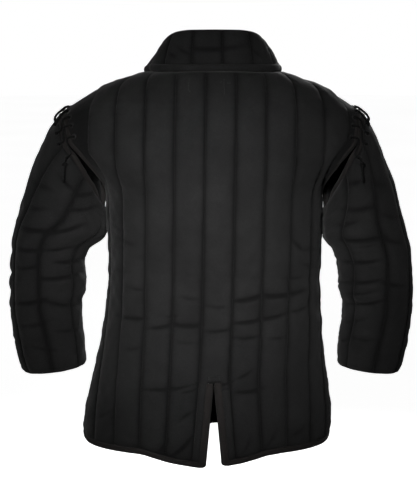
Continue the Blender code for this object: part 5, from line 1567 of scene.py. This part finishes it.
def set_studio():
    """A white floor and surround, which only the camera sees, and soft lights."""
    bpy.context.scene.view_settings.view_transform = "Standard"
    world = bpy.data.worlds.new("studio")
    bpy.context.scene.world = world
    world.use_nodes = True
    sky = world.node_tree
    seen = add_node(sky, "ShaderNodeLightPath")
    bright = add_node(sky, "ShaderNodeMapRange", [("Value", seen, "Is Camera Ray")], To_Min=HAZE, To_Max=1.0)
    sky.nodes["Background"].inputs["Color"].default_value = (1.0, 1.0, 1.0, 1.0)
    sky.links.new(bright.outputs["Result"], sky.nodes["Background"].inputs["Strength"])
    white = bpy.data.materials.new("matt_white_paint")
    white.use_nodes = True
    tree = white.node_tree
    shader = tree.nodes["Principled BSDF"]
    spot = add_node(tree, "ShaderNodeTexCoord")
    grain = add_node(tree, "ShaderNodeTexNoise", [("Vector", spot, "Object")], Scale=0.6, Detail=2.0)
    ramp = add_node(tree, "ShaderNodeValToRGB", [("Fac", grain, "Fac")])
    ramp.color_ramp.elements[0].color = paint("#fafafa")
    ramp.color_ramp.elements[1].color = paint("#ffffff")
    tree.links.new(ramp.outputs["Color"], shader.inputs["Base Color"])
    tree.links.new(ramp.outputs["Color"], shader.inputs["Emission Color"])
    shader.inputs["Roughness"].default_value = 0.9
    shader.inputs["Emission Strength"].default_value = 1.0
    floor = bmesh.new()
    bmesh.ops.create_circle(floor, cap_ends=True, segments=96, radius=FLOOR_RADIUS,
                            matrix=Matrix.Translation((0, 0, FLOOR_HEIGHT)))
    stage_piece("floor", floor, white)
    for lamp in LAMPS:
        add_light(*lamp)


def sleeve_lacing(strips_before, strips_behind, front_faces, back_faces, sleeve_faces):
    """The pairs of seats that the shoulder's cord runs through: up in front, then down behind."""
    stitches = []
    for strips, table, faces in ((strips_before, LACES_BEFORE[::-1], front_faces),
                                 (strips_behind, LACES_BEHIND, back_faces)):
        for stitch in table:
            pair = (seat_of("body", faces, strips[0], stitch.body, BODY_EYELET),
                    seat_of("sleeve", sleeve_faces, strips[1], stitch.sleeve, SLEEVE_EYELET))
            stitches.append(pair if faces is back_faces else pair[::-1])
    return stitches


def front_lacing(fronts, front_cloths):
    """The pairs of seats that the front's cord runs through, from the neck down."""
    strips, faces = {}, {}
    for side in (-1, 1):
        wall = fronts[side]
        away = np.tile([-float(side), 0.0, 0.0], (wall.outer.shape[0], 1))
        strips[side] = Strip(wall.outer[::-1, 0], wall.inner[::-1, 0], away)
        faces[side] = faces_of(front_cloths[side])
    return [
        (seat_of("left", faces[-1], strips[-1], along, BODY_EYELET),
         seat_of("right", faces[1], strips[1], along + FRONT_SLANT, BODY_EYELET))
        for along in (FRONT_FIRST + i * FRONT_LACE_STEP for i in range(FRONT_LACES))
    ]


def label_outline(sewing, faces):
    """What is left of a label's stitching, under the collar."""
    for run in LABEL_RUNS:
        found = [on_cloth(faces, *pixel) for pixel in run]
        run_of_stitches(sewing, np.array([f[0] for f in found]), np.array([f[1] for f in found]), step=0.0040,
                        length=0.0034, thick=0.0012, lift=0.0004)


def bar_tack(back, vent_row, first, last, thread):
    """The bar of close stitches, leaning to and fro, that stops the vent from tearing."""
    tack = bmesh.new()
    low = back.outer[vent_row, first:last + 1]
    wide = np.linalg.norm(low[-1] - low[0])
    facing = back.normals[vent_row, (first + last) // 2]
    up = np.array([0.0, 0.0, 1.0])
    for i in range(TACK_STITCHES):
        across = TACK_ACROSS[0] + (TACK_ACROSS[1] - TACK_ACROSS[0]) * i / (TACK_STITCHES - 1)
        middle = spaced(low, [across * wide])[0] + up * (TACK_UP[0] + TACK_UP[1]) / 2 + facing * 0.0008
        lean = up + np.array([0.25 * (-1) ** i, 0, 0])
        add_stitch(tack, middle, lean, facing, TACK_UP[1] - TACK_UP[0], TACK_THREAD)
    add_piece("vent_bar_tack_stitches", tack, thread, ["vent_bar_tack"])


def main():
    """Makes the studio, the cloth pieces, their bindings, the cords and the stitching."""
    set_camera()
    set_studio()
    # For the cloth, #030303 is the painted shade that the grooves and creases darken to, and #1d1d1d the top
    # of its uneven tone
    cloth = canvas("black_cotton_canvas", "#030303", "#1d1d1d", 0.0016, 0.92, 0.05)
    bound = canvas("black_cotton_tape", "#080706", "#1f1c1b", 0.0012, 0.88, 0.05)
    cord = thread_finish("black_braided_cotton", paint("#020202"), 0.85, 0.01)
    thread = thread_finish("black_sewing_thread", paint("#161616"), 0.6, 0.05)

    back, back_cloth, vent_row, first, last = back_piece(cloth)
    fronts, front_cloths = {}, {}
    for side in (-1, 1):
        fronts[side], front_cloths[side] = front_piece(side, cloth)
    collar, collar_cloth = collar_pieces(*main_neck(back, fronts), cloth, cloth)
    sewing = []
    for wall in (back, fronts[-1], fronts[1], collar):
        quilting_stitches(sewing, wall)

    back_faces = faces_of(back_cloth)
    back_seats, front_seats, eyelets = [], {}, []
    for side in (-1, 1):
        name = side_name(side)
        hem_roll(side, back, fronts[side], vent_row, first, last, bound)
        front_roll(side, fronts[side], bound)
        middles, normals = armhole_loop(back, fronts[side], side)
        away = edge_frame(middles, normals, np.array([0.0, 0.0, -0.35]), closed=True)
        roll("armhole_roll_" + name, middles, normals, away * EDGE_WIDE, EDGE_THICK, bound,
             ["armhole_binding_" + name], closed=True, gap=SEAM_GAP * 3, seed=41 + side)
        sleeve, sleeve_cloth, turns = sleeve_piece(side, middles, cloth)
        quilting_stitches(sewing, sleeve)
        head = (sleeve.outer[0] + sleeve.inner[0]) / 2
        head_away = edge_frame(head, sleeve.normals[0], sleeve.outer[12].mean(axis=0), closed=True)
        kept = even_line(head, 0.0028, closed=True)
        roll("sleeve_head_roll_" + name, head[kept], sleeve.normals[0][kept], head_away[kept] * EDGE_WIDE,
             EDGE_THICK, bound, ["sleeve_head_binding_" + name], closed=True, gap=SEAM_GAP * 3,
             seed=51 + side)
        before = (armhole_strip(fronts[side], -1, away, middles), head_strip(sleeve, turns, head_away, False))
        behind = (armhole_strip(back, -1 if side > 0 else 0, away, middles),
                  head_strip(sleeve, turns, head_away, True))
        stitches = sleeve_lacing(before, behind, faces_of(front_cloths[side]), back_faces,
                                 faces_of(sleeve_cloth))
        count = len(LACES_BEFORE)
        cut_eyelets(sleeve_cloth, [seat for pair in stitches for seat in pair if seat.piece == "sleeve"])
        back_seats += [first_seat for first_seat, _ in stitches[count:]]
        front_seats[side] = [second_seat for _, second_seat in stitches[:count]]
        eyelets += [seat for pair in stitches for seat in pair]
        lace_up("shoulder_cord_" + name, "shoulder_lace_" + name, stitches, cord,
                SHOULDER_LACE_LIFT, SHOULDER_KNOT_LIFT, KNOTTED_END)
    cut_eyelets(back_cloth, back_seats)
    stitches = front_lacing(fronts, front_cloths)
    lace_up("front_cord", "front_lace", stitches, cord, FRONT_LACE_LIFT, 0.0, FREE_END)
    cut_eyelets(front_cloths[-1], front_seats[-1] + [pair[0] for pair in stitches])
    cut_eyelets(front_cloths[1], front_seats[1] + [pair[1] for pair in stitches])
    eyelets += [seat for pair in stitches for seat in pair]
    for seat in eyelets:
        eyelet_stitches(sewing, seat)
    label_outline(sewing, back_faces)
    add_piece("quilting_stitches", sewn_together(sewing), thread)
    bar_tack(back, vent_row, first, last, thread)


main()
